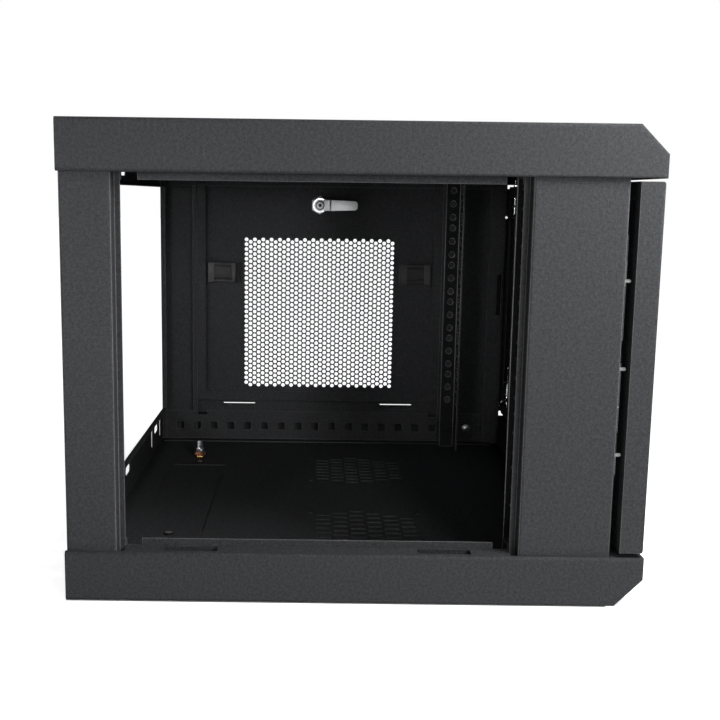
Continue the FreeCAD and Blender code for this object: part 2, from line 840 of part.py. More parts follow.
# ---------------------------------------------------------------- door
door_low = S.trim + S.door_bottom_gap
door_high = trim_top - S.door_top_gap
glass_back = door_front - S.gauge - S.gasket_thickness - S.glass_thickness
window = ((-door_half + S.door_border, door_half - S.door_border),
          (door_low + S.door_bar, door_high - S.door_bar))
lock_x = -(post_face - S.front_post_return - S.lock_clear_lip)


def grown(spans, by):
    """A window's spans made wider by a lap all round."""
    return [(low - by, high + by) for low, high in spans]


def make_door_frame():
    """A steel tray, open to the rear, with a window, an inner lip and holes for pins and lock.

    The hinge side reaches further back than the rest and covers the gap to the post.
    """
    blank = block("door_blank", (-door_half, door_half), (door_back, door_front),
                  (door_low, door_high))
    doc.recompute()
    rounded = doc.addObject("Part::Fillet", "door_rounded")
    rounded.Base = blank
    edges = []
    for number, edge in enumerate(blank.Shape.Edges, start=1):
        ends = [vertex.Point for vertex in edge.Vertexes]
        if all(end.y < at_reach(door_front).value + 0.01 for end in ends):
            edges.append((number, S.bend.value, S.bend.value))
    rounded.Edges = edges
    g = S.gauge
    inside = (-door_half + g, door_half - g)
    inside_z = (door_low + g, door_high - g)
    hollow = block("door_hollow", inside, (door_back + g, door_front - g), inside_z)
    mouth = block("door_mouth", (inside[0] + S.door_lip, inside[1] - S.door_lip),
                  (door_back - 1, door_back + g + 1),
                  (inside_z[0] + S.door_lip, inside_z[1] - S.door_lip))
    pane_hole = block("door_window", window[0], (door_front - g - 1, door_front + 1), window[1])
    hinge_return = block("door_hinge_side", (door_half - g, door_half),
                         (door_back - S.door_hinge_return, door_back + g),
                         (door_low + S.bend, door_high - S.bend))
    tools = [hollow, mouth, pane_hole]
    tools.append(rod("door_pin_hole_top", "z", (hinge_x, hinge_reach, door_high - g - 1),
                     S.pin_radius + S.running_gap, g + 2))
    tools.append(rod("door_pin_hole_bottom", "z", (hinge_x, hinge_reach, door_low - 1),
                     S.pin_radius + S.running_gap, g + 2))
    tools.append(prism("door_lock_hole", "reach", (lock_x, door_front - g - 1, lock_height),
                       S.lock_barrel_radius + S.hole_gap, g + 2, LARGE_ROUND))
    return cut("door_frame_shape", join("door_tray", [rounded, hinge_return]), tools)


def make_ring(name, outer, width, reaches):
    """A flat rectangular frame."""
    solid = block(name + "_outer", outer[0], reaches, outer[1])
    inner = grown(outer, -width)
    hole = block(name + "_inner", inner[0], (dim(reaches[0]) - 1, dim(reaches[1]) + 1), inner[1])
    return cut(name, solid, [hole])


pane = grown(window, S.glass_lap)
piece(make_door_frame(), "door_frame")
piece(block("door_glass_shape", pane[0], (glass_back, glass_back + S.glass_thickness), pane[1]),
      "door_glass")
piece(make_ring("glass_gasket_shape", pane, S.gasket_width,
                (glass_back + S.glass_thickness, door_front - S.gauge)), "glass_gasket")


def make_glass_clips():
    """Small folded clips that hold the pane against its gasket."""
    clips = []
    skin_back = door_front - S.gauge
    heel = 9.0
    finger = 9.0
    half = 10.0
    from_corner = 30.0
    clip_gauge = S.rack_gauge
    spots = [(sign, z) for sign in (-1, 1)
             for z in (door_low + S.door_bar + from_corner, door_high - S.door_bar - from_corner)]
    for number, (sign, z) in enumerate(spots):
        edge = pane[0][1] * sign
        path = ((edge + (heel + 2) * sign, skin_back), (edge + 1.0 * sign, skin_back),
                (edge + 1.0 * sign, glass_back), (edge - finger * sign, glass_back))
        outline = folded(path, clip_gauge * sign)
        clips.append(padded("glass_clip_%d" % number, "plan", outline, z - half, half * 2))
    return group("glass_clips_shape", clips)


piece(make_glass_clips(), "glass_clips")


barrel_back = lock_slot_reach + S.cam_gauge / 2 + 0.2
lock_at = (lock_x, lock_height)


def make_door_lock():
    """Barrel with a flanged head in front of the door skin."""
    x, z = lock_at
    barrel = prism("door_barrel_body", "reach", (x, barrel_back, z), S.lock_barrel_radius,
                   door_front - barrel_back, LARGE_ROUND)
    head = prism("door_barrel_head", "reach", (x, door_front, z), S.lock_head_radius,
                 S.door_front_inset - 0.1, LARGE_ROUND)
    keyway = block("door_keyway", (x - 0.8, x + 0.8), (door_front - 3, S.depth + 1),
                   (z - 3.5, z + 3.5))
    return cut("door_lock_barrel_shape", join("door_barrel_blank", [barrel, head]), [keyway])


def make_door_nut():
    """The hexagon nut behind the door skin."""
    x, z = lock_at
    back = door_front - S.gauge - S.lock_nut_thickness
    nut = hexagon("door_nut_blank", "reach", (x, back, z), S.lock_nut_radius * 2,
                  S.lock_nut_thickness)
    bore = prism("door_nut_bore", "reach", (x, back - 1, z), S.lock_barrel_radius,
                 S.lock_nut_thickness + 2, LARGE_ROUND)
    return cut("door_lock_nut_shape", nut, [bore])


def make_door_cam():
    """The cam behind the barrel, hanging down while the door is unlocked."""
    x, z = lock_at
    back = barrel_back - 0.2 - S.cam_gauge
    hub = prism("door_cam_hub", "reach", (x, back, z), S.cam_hub, S.cam_gauge, LARGE_ROUND)
    arm = block("door_cam_arm", (x - S.cam_half, x + S.cam_half), (back, back + S.cam_gauge),
                (z - S.door_cam_length, z))
    screw = hexagon("door_cam_screw", "reach", (x, back - 3, z), 8.0, 3.0)
    return join("door_lock_cam_shape", [hub, arm, screw])


piece(make_door_lock(), "door_lock_barrel")
piece(make_door_nut(), "door_lock_nut")
piece(make_door_cam(), "door_lock_cam")


def make_pin(name, tip, arm_z, collar_z, end_z, shoulder):
    """A hinge pin with a collar for its spring and a handle bent inwards.

    The lower pin goes on above its shoulder as a thin rod with a ball on its end.
    """
    low, high = sorted((tip, shoulder), key=lambda d: d.value)
    shaft = rod(name + "_shaft", "z", (hinge_x, hinge_reach, low), S.pin_radius, high - low)
    collar = rod(name + "_collar", "z", (hinge_x, hinge_reach, collar_z), S.pin_collar_radius,
                 1.5)
    handle = doc.addObject("Part::Prism", name + "_handle")
    handle.Polygon = SMALL_ROUND
    bind(handle, "Circumradius", S.pin_arm_radius)
    bind(handle, "Height", S.pin_arm_length)
    lean = math.radians(S.pin_arm_angle.value)
    turn = FreeCAD.Rotation(Vector(0, 0, 1), Vector(-math.cos(lean), math.sin(lean), 0))
    place(handle, hinge_x, at_reach(hinge_reach), arm_z, turn)
    shapes = [shaft, collar, handle]
    if end_z is not shoulder:
        shapes.append(rod(name + "_rod", "z", (hinge_x, hinge_reach, shoulder),
                          S.pin_rod_radius, end_z - shoulder))
        for low_share, high_share, radius_share in ((-1, 1, 0.75), (-0.6, 0.6, 1)):
            low = end_z + S.pin_ball_radius * low_share
            shapes.append(prism("%s_knob_%d" % (name, radius_share), "z",
                                (hinge_x, hinge_reach, low), S.pin_ball_radius * radius_share,
                                S.pin_ball_radius * (high_share - low_share), LARGE_ROUND))
    return join(name + "_shape", shapes)


top_arm = door_high - S.pin_arm_drop_top
top_ear = top_arm + S.pin_travel + 3
top_collar = top_ear + S.post_gauge + S.spring_length + 0.6
bottom_arm = door_low + S.pin_arm_rise_bottom
bottom_collar = bottom_arm + S.pin_arm_radius + 2
bottom_ear = bottom_collar + 1.5 + S.spring_length + 0.6
top_end = top_arm - S.pin_arm_radius
piece(make_pin("hinge_pin_top", trim_top + S.pin_engage, top_arm, top_collar, top_end, top_end),
      "hinge_pin_top")
piece(make_pin("hinge_pin_bottom", S.trim - S.pin_engage, bottom_arm, bottom_collar,
               door_low + S.pin_ball_rise, bottom_ear + S.post_gauge + 1), "hinge_pin_bottom")


def make_spring(name, low):
    """A compression spring: short straight lengths of wire round a helix."""
    radius, wire = S.spring_radius.value, S.spring_wire.value
    steps = 10
    turns = int(S.spring_turns.value)
    rise = (S.spring_length.value - wire * 2) / (steps * turns)
    path = Part.makePolygon([
        Vector(radius * math.cos(2 * math.pi * i / steps),
               radius * math.sin(2 * math.pi * i / steps), rise * i)
        for i in range(steps * turns + 1)])
    start = path.Vertexes[0].Point
    heading = path.Vertexes[1].Point - start
    out = Vector(1, 0, 0)
    across = heading.cross(out).normalize()
    ring = [start + corner * wire for corner in (out, across, out * -1, across * -1)]
    section = Part.makePolygon(ring + ring[:1])
    spring = doc.addObject("Part::Feature", name + "_shape")
    spring.Shape = path.makePipeShell([section], True, False, 1)
    return place(spring, hinge_x, at_reach(hinge_reach), low + S.spring_wire)


piece(make_spring("hinge_spring_top", top_ear + S.post_gauge + 0.3), "hinge_spring_top")
piece(make_spring("hinge_spring_bottom", bottom_collar + 1.5 + 0.3), "hinge_spring_bottom")


def make_pin_bracket(name, ear, wall_z, up):
    """An angle on the door's side wall whose ear guides a hinge pin."""
    wall = door_half - S.gauge
    tip = hinge_x - S.pin_radius - 4
    if up > 0:
        path = ((wall, wall_z), (wall, ear), (tip, ear))
        outline = folded(path, -S.post_gauge)
    else:
        path = ((tip, ear + S.post_gauge), (wall, ear + S.post_gauge), (wall, wall_z))
        outline = folded(path, -S.post_gauge)
    angle = padded(name + "_angle", "front", outline, door_back + S.gauge + 0.5,
                   S.door_depth - S.gauge * 2 - 1.5)
    hole = rod(name + "_hole", "z", (hinge_x, hinge_reach, ear - 1),
               S.pin_radius + S.running_gap, S.post_gauge + 2)
    return cut(name + "_shape", angle, [hole])


ear_wall = 14.0
piece(make_pin_bracket("pin_bracket_top", top_ear, top_ear + ear_wall, 1), "pin_bracket_top")
piece(make_pin_bracket("pin_bracket_bottom", bottom_ear, bottom_ear - ear_wall, -1),
      "pin_bracket_bottom")


def make_buffers():
    """Clear bumpers on the lock side's post, where the door closes."""
    x = -(post_face - S.buffer_radius - 4)
    height = door_back - front_post_front - 0.3
    bumpers = []
    for step in (-1, 0, 1):
        z = S.height / 2 + S.buffer_rise + S.buffer_pitch * step
        bumpers.append(prism("buffer_%d" % (step + 1), "reach", (x, front_post_front, z),
                             S.buffer_radius, height))
    return group("door_buffers_shape", bumpers)


piece(make_buffers(), "door_buffers")

# ---------------------------------------------------------------- side panel
skin_out = post_face
skin_in = skin_out - S.gauge
lip_in = seat_face + S.seat_gap
panel_low = S.trim + S.panel_bottom_gap
panel_high = trim_top - S.panel_top_gap
sill_low = S.trim + S.panel_sill
panel_lock_height = panel_high - S.panel_lock_drop
grille_width = panel_front - panel_back - S.grille_side * 2
grille_height = panel_high - S.grille_head - S.grille_base


def round_outline(sides, radius, x, y, z):
    """A regular outline round a place on the skin, with a corner towards the rear."""
    turn = 2 * math.pi / sides
    ring = [Vector(x, y + radius * math.cos(turn * k), z + radius * math.sin(turn * k))
            for k in range(sides)]
    return Part.makePolygon(ring + ring[:1])


def make_panel_skin():
    """The flat skin with its staggered field of holes, lock hole and slits."""
    g = S.gauge.value
    y_front, y_back = at_reach(panel_front).value, at_reach(panel_back).value
    x = skin_in.value
    corners = [Vector(x, y_front, panel_low.value), Vector(x, y_back, panel_low.value),
               Vector(x, y_back, panel_high.value), Vector(x, y_front, panel_high.value)]
    wires = [Part.makePolygon(corners + corners[:1])]
    pitch = S.grille_pitch.value
    column_step = pitch * math.sqrt(3.0) / 2
    radius = S.grille_hole.value
    columns = int(grille_width.value / column_step)
    rows = int(grille_height.value / pitch)
    y_middle = at_reach(panel_middle).value
    z_base = S.grille_base.value + radius
    for column in range(columns):
        y = y_middle + column_step * (column - (columns - 1) / 2)
        for line in range(rows):
            z = z_base + pitch * (line + 0.5 * (column % 2))
            wires.append(round_outline(6, radius, x, y, z))
    wires.append(round_outline(LARGE_ROUND, (S.lock_barrel_radius + S.hole_gap).value,
                               x, y_middle, panel_lock_height.value))
    slit_low = S.trim.value + S.panel_slit_rise.value
    for sign in (-1, 1):
        y = y_middle + sign * S.panel_tab_offset.value
        half = S.panel_tab_width.value / 2
        slit = [Vector(x, y - half, slit_low), Vector(x, y + half, slit_low),
                Vector(x, y + half, slit_low + S.panel_slit.value),
                Vector(x, y - half, slit_low + S.panel_slit.value)]
        wires.append(Part.makePolygon(slit + slit[:1]))
    skin = doc.addObject("Part::Feature", "panel_skin")
    skin.Shape = Part.Face(wires, "Part::FaceMakerBullseye").extrude(Vector(g, 0, 0))
    return skin


def make_side_panel():
    """The skin with folded edges, a sill and two tabs that stand in the base's ledge."""
    g = S.gauge
    heights = (panel_low, panel_high)
    shapes = [make_panel_skin()]
    for tag, edge, into in (("rear", panel_back, 1), ("front", panel_front, -1)):
        path = ((skin_in, edge), (lip_in, edge), (lip_in, edge + S.panel_side_lip * into))
        outline = folded(path, -g * into)
        shapes.append(padded("panel_fold_" + tag, "plan", outline, sill_low,
                             panel_high - sill_low))
    span = (panel_back, panel_front - panel_back)
    shapes.append(padded("panel_sill_fold", "front",
                         folded(((skin_in, sill_low), (lip_in, sill_low),
                                 (lip_in, sill_low + S.panel_sill_lip)), -g), *span))
    shapes.append(padded("panel_top_fold", "front",
                         folded(((skin_in, panel_high), (lip_in, panel_high),
                                 (lip_in, panel_high - S.panel_top_lip)), g), *span))
    tab_x = side - S.panel_tab_inset
    for tag, sign in (("rear", -1), ("front", 1)):
        reach = panel_middle + S.panel_tab_offset * sign
        half = S.panel_tab_width / 2
        span = (reach - half, reach + half)
        head = S.trim + S.panel_tab_rise
        shapes.append(block("panel_tab_" + tag, (tab_x - g, tab_x), span,
                            (S.trim - S.panel_tab_drop, head)))
        shapes.append(block("panel_tab_foot_" + tag, (tab_x - g, skin_in), span,
                            (head - g, head)))
    return join("side_panel_shape", shapes)


piece(make_side_panel(), "side_panel")

cam_out = rail_inner + S.cam_gauge + 0.6
panel_lock_at = (panel_middle, panel_lock_height)


def make_panel_barrel():
    """The side panel lock's barrel, head outside."""
    reach, z = panel_lock_at
    barrel = prism("panel_barrel_body", "x", (cam_out + 0.2, reach, z), S.lock_barrel_radius,
                   skin_out - cam_out - 0.2, LARGE_ROUND)
    head = prism("panel_barrel_head", "x", (skin_out, reach, z), S.lock_head_radius, 2.6,
                 LARGE_ROUND)
    keyway = block("panel_keyway", (skin_out - 1, skin_out + 4), (reach - 0.8, reach + 0.8),
                   (z - 3.5, z + 3.5))
    return cut("panel_lock_barrel_shape", join("panel_barrel_blank", [barrel, head]), [keyway])


def make_panel_nut():
    """The round nut behind the skin."""
    reach, z = panel_lock_at
    start = skin_in - S.lock_nut_thickness
    nut = hexagon("panel_nut_blank", "x", (start, reach, z), S.lock_nut_radius * 2,
                  S.lock_nut_thickness)
    bore = prism("panel_nut_bore", "x", (start - 1, reach, z), S.lock_barrel_radius,
                 S.lock_nut_thickness + 2, LARGE_ROUND)
    return cut("panel_lock_nut_shape", nut, [bore])


def make_panel_cam():
    """A joggled cam: round hub, a step inwards and a rounded finger that points to the front."""
    reach, z = panel_lock_at
    g = S.cam_gauge
    hub = prism("panel_cam_hub", "x", (cam_out - g, reach, z), S.lock_head_radius - 0.5, g,
                LARGE_ROUND)
    hub_end = reach + S.panel_cam_jog
    tip_end = reach + S.panel_cam_length
    low_x = cam_out - S.panel_cam_step
    half = S.cam_half
    root = block("panel_cam_root", (cam_out - g, cam_out), (reach, hub_end), (z - half, z + half))
    riser = block("panel_cam_riser", (low_x - g, cam_out), (hub_end - g, hub_end),
                  (z - half, z + half))
    finger = block("panel_cam_finger", (low_x - g, low_x), (hub_end - g, tip_end),
                   (z - half, z + half))
    tip = prism("panel_cam_tip", "x", (low_x - g, tip_end, z), half, g, LARGE_ROUND)
    return join("panel_lock_cam_shape", [hub, root, riser, finger, tip])


def make_panel_cam_screw():
    """The screw and washer that hold the cam to its barrel."""
    reach, z = panel_lock_at
    start = cam_out - S.cam_gauge
    washer = prism("panel_screw_washer", "x", (start - 1, reach, z), 6.5, 1.0, LARGE_ROUND)
    head = prism("panel_screw_head", "x", (start - 4, reach, z), 4.0, 3.0)
    socket = hexagon("panel_screw_socket", "x", (start - 5, reach, z), 4.0, 3.0)
    return cut("panel_cam_screw_shape", join("panel_screw_blank", [washer, head]), [socket])


piece(make_panel_barrel(), "panel_lock_barrel")
piece(make_panel_nut(), "panel_lock_nut")
piece(make_panel_cam(), "panel_lock_cam")
piece(make_panel_cam_screw(), "panel_lock_cam_screw")

bolt_out = seat_face - S.post_gauge - S.seat_gap
bolt_in = bolt_out - S.cam_gauge


def make_latch(sign, tag):
    """A slide latch: a housing with a thumb window, and its flat bolt. sign 1 is the rear one."""

    def reach(distance):
        """Distance from the panel's middle outwards, as a reach."""
        return panel_middle - distance * sign

    def span(near, far):
        """Two distances from the middle as an ordered pair of reaches."""
        return tuple(sorted((reach(near), reach(far)), key=lambda d: d.value))

    outer = panel_middle - S.latch_reach
    inner = outer - S.latch_length
    low = S.height / 2 + S.latch_rise
    high = low + S.latch_height
    body = block("latch_body_" + tag, (bolt_in - S.latch_wall, skin_in), span(inner, outer),
                 (low, high))
    middle = (low + high) / 2
    half = S.latch_bolt_height / 2
    gap = 0.3
    channel = block("latch_channel_" + tag, (bolt_in - gap, bolt_out + gap),
                    span(outer - S.latch_bolt - 1.4, outer + 1), (middle - half - gap,
                                                                  middle + half + gap))
    window_outer = outer - S.latch_wall * 4
    opening = block("latch_window_" + tag, (bolt_in - 3, bolt_in),
                    span(window_outer - S.latch_window, window_outer),
                    (middle - half + 1, middle + half - 1))
    housing = cut("latch_housing_%s_shape" % tag, body, [channel, opening])
    blade = block("latch_blade_" + tag, (bolt_in, bolt_out), span(outer - S.latch_bolt, outer - 0.4),
                  (middle - half, middle + half))
    thumb = block("latch_thumb_" + tag, (bolt_in - 3, bolt_in),
                  span(window_outer - S.latch_window + 0.6, window_outer - S.latch_window + 4.6),
                  (middle - half + 1.4, middle + half - 1.4))
    bolt = join("latch_bolt_%s_shape" % tag, [blade, thumb])
    piece(housing, "latch_housing_" + tag)
    piece(bolt, "latch_bolt_" + tag)


make_latch(1, "rear")
make_latch(-1, "front")


# ---------------------------------------------------------------- earth stud
def make_earth():
    """A stud on the base plate with a brass nut, copper washers and a wing nut."""
    x, reach = S.earth_offset, S.earth_reach
    base = plate_top
    shank = S.earth_radius - S.hole_gap
    piece(rod("earth_stud_shape", "z", (x, reach, S.plate_rise), shank, S.earth_height),
          "earth_stud")
    nut = hexagon("earth_nut_blank", "z", (x, reach, base), 10.0, 4.0)
    piece(cut("earth_nut_shape", nut, [rod("earth_nut_bore", "z", (x, reach, base - 1),
                                          S.earth_radius, 6)]), "earth_nut")
    washers = []
    for number, z in enumerate((base + 4, base + 5.6)):
        disc = prism("earth_disc_%d" % number, "z", (x, reach, z), 6.5, 1.6, LARGE_ROUND)
        bore = prism("earth_disc_bore_%d" % number, "z", (x, reach, z - 1),
                     S.earth_radius + 0.4, 4)
        washers.append(cut("earth_washer_%d" % number, disc, [bore]))
    piece(group("earth_washers_shape", washers), "earth_washers")
    seat = base + 7.2
    hub = rod("wing_hub", "z", (x, reach, seat), 5.0, 5.0)
    wings = [block("wing_%d" % sign, tuple(sorted((x + 3.0 * sign, x + 11.0 * sign),
                                                  key=lambda d: d.value)),
                   (reach - 1, reach + 1), (seat + 2, seat + 9.5)) for sign in (-1, 1)]
    bore = rod("wing_bore", "z", (x, reach, seat - 1), S.earth_radius, 12)
    piece(cut("earth_wing_nut_shape", join("wing_blank", [hub] + wings), [bore]),
          "earth_wing_nut")


make_earth()

# ---------------------------------------------------------------- check and write
doc.recompute()
broken = [obj.Label for obj in doc.Objects if "Invalid" in obj.State or "Error" in obj.State]
if broken:
    raise RuntimeError("failed objects: " + ", ".join(broken))
for obj in pieces:
    if obj.Shape.isNull() or not obj.Shape.isValid() or not obj.Shape.Solids:
        raise RuntimeError("bad shape: " + obj.Label)
os.makedirs("parts", exist_ok=True)
for obj in pieces:
    obj.Shape.exportStep("parts/%s.step" % obj.Label)
    print(obj.Label, len(obj.Shape.Solids), round(obj.Shape.Volume))
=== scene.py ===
"""Looks of the wall mount network cabinet: finishes, fine perforation, springs, screws and locks.

Metres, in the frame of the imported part: +Z up, +X to the right seen from the front, front at -Y.
"""
import json
import math

import bmesh
import bpy
from mathutils import Matrix, Vector


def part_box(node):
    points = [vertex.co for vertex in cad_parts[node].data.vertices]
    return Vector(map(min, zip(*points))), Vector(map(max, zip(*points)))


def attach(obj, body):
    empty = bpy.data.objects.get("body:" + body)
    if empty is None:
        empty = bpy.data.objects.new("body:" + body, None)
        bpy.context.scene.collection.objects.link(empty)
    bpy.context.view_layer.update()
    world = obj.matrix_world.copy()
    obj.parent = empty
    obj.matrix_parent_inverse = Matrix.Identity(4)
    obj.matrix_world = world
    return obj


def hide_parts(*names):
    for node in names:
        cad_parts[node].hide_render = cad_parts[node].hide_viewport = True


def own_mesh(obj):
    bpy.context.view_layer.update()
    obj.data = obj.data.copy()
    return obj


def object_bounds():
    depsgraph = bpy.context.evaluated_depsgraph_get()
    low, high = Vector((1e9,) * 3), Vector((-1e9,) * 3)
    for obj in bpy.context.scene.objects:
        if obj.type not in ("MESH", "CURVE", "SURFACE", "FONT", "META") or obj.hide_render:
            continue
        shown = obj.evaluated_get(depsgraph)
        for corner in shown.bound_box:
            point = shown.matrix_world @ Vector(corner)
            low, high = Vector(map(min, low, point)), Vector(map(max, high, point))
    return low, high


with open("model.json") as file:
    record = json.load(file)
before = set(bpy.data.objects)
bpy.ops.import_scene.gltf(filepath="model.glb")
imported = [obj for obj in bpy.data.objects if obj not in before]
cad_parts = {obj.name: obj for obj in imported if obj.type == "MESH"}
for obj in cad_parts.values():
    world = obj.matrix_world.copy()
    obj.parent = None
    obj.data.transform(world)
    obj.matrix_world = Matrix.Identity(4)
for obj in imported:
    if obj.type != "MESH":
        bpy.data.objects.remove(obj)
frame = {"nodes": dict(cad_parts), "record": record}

CAD_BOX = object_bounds()
MM = 0.001


# ---------------------------------------------------------------- materials
def new_material(name):
    """An empty node material with its shader and output."""
    material = bpy.data.materials.new(name)
    material.use_nodes = True
    nodes = material.node_tree.nodes
    nodes.clear()
    output = nodes.new("ShaderNodeOutputMaterial")
    shader = nodes.new("ShaderNodeBsdfPrincipled")
    material.node_tree.links.new(shader.outputs["BSDF"], output.inputs["Surface"])
    return material, shader


def noise(material, scale, detail, roughness):
    """Noise over the piece, in its own coordinates."""
    nodes, links = material.node_tree.nodes, material.node_tree.links
    place = nodes.new("ShaderNodeTexCoord")
    texture = nodes.new("ShaderNodeTexNoise")
    texture.inputs["Scale"].default_value = scale
    texture.inputs["Detail"].default_value = detail
    texture.inputs["Roughness"].default_value = roughness
    links.new(place.outputs["Object"], texture.inputs["Vector"])
    return texture.outputs["Fac"]


def ramp(material, source, stops):
    """A colour or grey ramp over a factor."""
    nodes, links = material.node_tree.nodes, material.node_tree.links
    node = nodes.new("ShaderNodeValToRGB")
    elements = node.color_ramp.elements
    while len(elements) < len(stops):
        elements.new(0.5)
    for element, (position, value) in zip(elements, stops):
        element.position = position
        element.color = (*value, 1.0)
    links.new(source, node.inputs["Fac"])
    return node.outputs["Color"]


def grey(value):
    """A grey as a colour."""
    return (value, value, value)


def bump(material, source, strength, distance):
    """Surface relief from a factor, given to the shader."""
    nodes, links = material.node_tree.nodes, material.node_tree.links
    node = nodes.new("ShaderNodeBump")
    node.inputs["Strength"].default_value = strength
    node.inputs["Distance"].default_value = distance
    links.new(source, node.inputs["Height"])
    return node.outputs["Normal"]


def mixed(material, first, second, share):
    """A blend of two factors."""
    nodes, links = material.node_tree.nodes, material.node_tree.links
    node = nodes.new("ShaderNodeMix")
    node.inputs["Factor"].default_value = share
    links.new(first, node.inputs[2])
    links.new(second, node.inputs[3])
    return node.outputs[0]


def powder_coat(name, dark, light, rough=(0.42, 0.6), gloss=0.0):
    """Fine textured powder coat: a pebbled skin with a faint fleck."""
    material, shader = new_material(name)
    links = material.node_tree.links
    pebble = noise(material, 1400, 3.0, 0.55)
    cloud = noise(material, 420, 6.0, 0.7)
    fleck = mixed(material, pebble, cloud, 0.45)
    links.new(ramp(material, fleck, ((0.36, dark), (0.64, light))), shader.inputs["Base Color"])
    links.new(ramp(material, cloud, ((0.3, grey(rough[0])), (0.7, grey(rough[1])))),
              shader.inputs["Roughness"])
    links.new(bump(material, pebble, 0.55, 0.00028), shader.inputs["Normal"])
    shader.inputs["Specular IOR Level"].default_value = gloss
    return material


def plated(name, dark, light, rough):
    """Plated metal with fine drawn marks and light staining."""
    material, shader = new_material(name)
    links = material.node_tree.links
    marks = noise(material, 900, 3.0, 0.6)
    stain = noise(material, 130, 4.0, 0.6)
    tone = mixed(material, marks, stain, 0.5)
    links.new(ramp(material, tone, ((0.35, dark), (0.65, light))), shader.inputs["Base Color"])
    links.new(ramp(material, marks, ((0.3, grey(rough[0])), (0.75, grey(rough[1])))),
              shader.inputs["Roughness"])
    links.new(bump(material, marks, 0.12, 0.0001), shader.inputs["Normal"])
    shader.inputs["Metallic"].default_value = 1.0
    return material


def moulded(name, dark, light, rough, grain=2400):
    """Moulded plastic or rubber with a fine grain."""
    material, shader = new_material(name)
    links = material.node_tree.links
    fine = noise(material, grain, 2.0, 0.5)
    broad = noise(material, 260, 4.0, 0.6)
    links.new(ramp(material, broad, ((0.3, dark), (0.7, light))), shader.inputs["Base Color"])
    links.new(ramp(material, broad, ((0.3, grey(rough[0])), (0.7, grey(rough[1])))),
              shader.inputs["Roughness"])
    links.new(bump(material, fine, 0.35, 0.00008), shader.inputs["Normal"])
    shader.inputs["Specular IOR Level"].default_value = 0.2
    return material


def smoked_glass():
    """Tempered glass with a grey tint."""
    material, shader = new_material("smoked_glass")
    links = material.node_tree.links
    wave = noise(material, 6, 2.0, 0.4)
    links.new(ramp(material, wave, ((0.3, (0.16, 0.17, 0.18)), (0.7, (0.19, 0.2, 0.21)))),
              shader.inputs["Base Color"])
    links.new(bump(material, wave, 0.03, 0.0004), shader.inputs["Normal"])
    shader.inputs["Roughness"].default_value = 0.03
    shader.inputs["IOR"].default_value = 1.5
    shader.inputs["Transmission Weight"].default_value = 0.85
    return material


def clear_rubber():
    """A soft clear bumper."""
    material, shader = new_material("clear_rubber")
    links = material.node_tree.links
    haze = noise(material, 900, 3.0, 0.6)
    links.new(ramp(material, haze, ((0.3, grey(0.62)), (0.7, grey(0.78)))),
              shader.inputs["Base Color"])
    links.new(ramp(material, haze, ((0.3, grey(0.16)), (0.7, grey(0.28)))),
              shader.inputs["Roughness"])
    shader.inputs["Transmission Weight"].default_value = 0.5
    return material


FINISH = {
    "powder_coat": powder_coat("charcoal_powder_coat", (0.030, 0.031, 0.033),
                               (0.078, 0.079, 0.082)),
    "black_screw": plated("black_oxide_and_recess_shade", grey(0.03), grey(0.06), (0.35, 0.5)),
    # the rails get a darker copy of the charcoal coat: painted shade for rails that stand inside the
    # cabinet
    "shaded_rail_coat": powder_coat("rail_powder_coat_painted_shade", (0.014, 0.014, 0.015), (0.032, 0.033, 0.034)),
    # a lighter coat for the eased bends and edges of the sheets: a painted highlight
    "bend_highlight": powder_coat("painted_highlight_on_bends", (0.09, 0.09, 0.092), (0.17, 0.17, 0.172)),
    # a lighter, glossy coat for the rails' eased edges: a painted highlight
    "edge_highlight": powder_coat("glossy_painted_highlight_on_edges", (0.10, 0.10, 0.10), (0.22, 0.22, 0.22),
                             (0.2, 0.3), 0.6),
    "satin_zinc": plated("satin_zinc_plate", (0.74, 0.75, 0.76), (0.86, 0.87, 0.88), (0.5, 0.66)),
    "latch_moulding": moulded("latch_moulding", grey(0.045), grey(0.065), (0.3, 0.42)),
    "zinc": plated("zinc_plate", (0.5, 0.51, 0.53), (0.68, 0.69, 0.71), (0.24, 0.4)),
    "chrome": plated("bright_chrome", (0.66, 0.67, 0.69), (0.82, 0.83, 0.85), (0.08, 0.18)),
    "spring_steel": plated("spring_wire", grey(0.42), grey(0.62), (0.2, 0.35)),
    "smoked_glass": smoked_glass(),
    "gasket_rubber": moulded("foam_strip", grey(0.012), grey(0.022), (0.8, 0.95), 900),
    "clear_rubber": clear_rubber(),
    "black_plastic": moulded("black_moulding", grey(0.014), grey(0.026), (0.38, 0.52)),
    "brass": plated("turned_brass", (0.62, 0.40, 0.15), (0.78, 0.55, 0.24), (0.2, 0.34)),
    "copper": plated("copper_washer", (0.52, 0.20, 0.10), (0.72, 0.33, 0.18), (0.22, 0.38)),
}

SLOT_OF = {entry["node"]: entry["material_slot"] for entry in frame["record"]["subparts"]}
RAILS = ("mounting_rail_left", "mounting_rail_right")


def finish_nodes():
    """Give each carried-over piece of the frame its finish; the rails a darker copy of the coat, painted
    shade; every powder-coated piece a lighter second finish for its eased edges, a painted highlight.
    """
    for name, node in frame["nodes"].items():
        node.data.materials.clear()
        node.data.materials.append(FINISH["shaded_rail_coat" if name in RAILS else SLOT_OF[name]])
        # powder-coated pieces get a lighter second finish for their eased edges: a painted highlight
        if SLOT_OF[name] == "powder_coat":
            node.data.materials.append(FINISH["edge_highlight" if name in RAILS else "bend_highlight"])


finish_nodes()


# ---------------------------------------------------------------- mesh building
SHARP = math.radians(38)
AXES = {
    "x": ((0, 1, 0), (0, 0, 1), (1, 0, 0)),
    "-x": ((0, -1, 0), (0, 0, 1), (-1, 0, 0)),
    "y": ((-1, 0, 0), (0, 0, 1), (0, 1, 0)),
    "-y": ((1, 0, 0), (0, 0, 1), (0, -1, 0)),
    "z": ((1, 0, 0), (0, 1, 0), (0, 0, 1)),
}


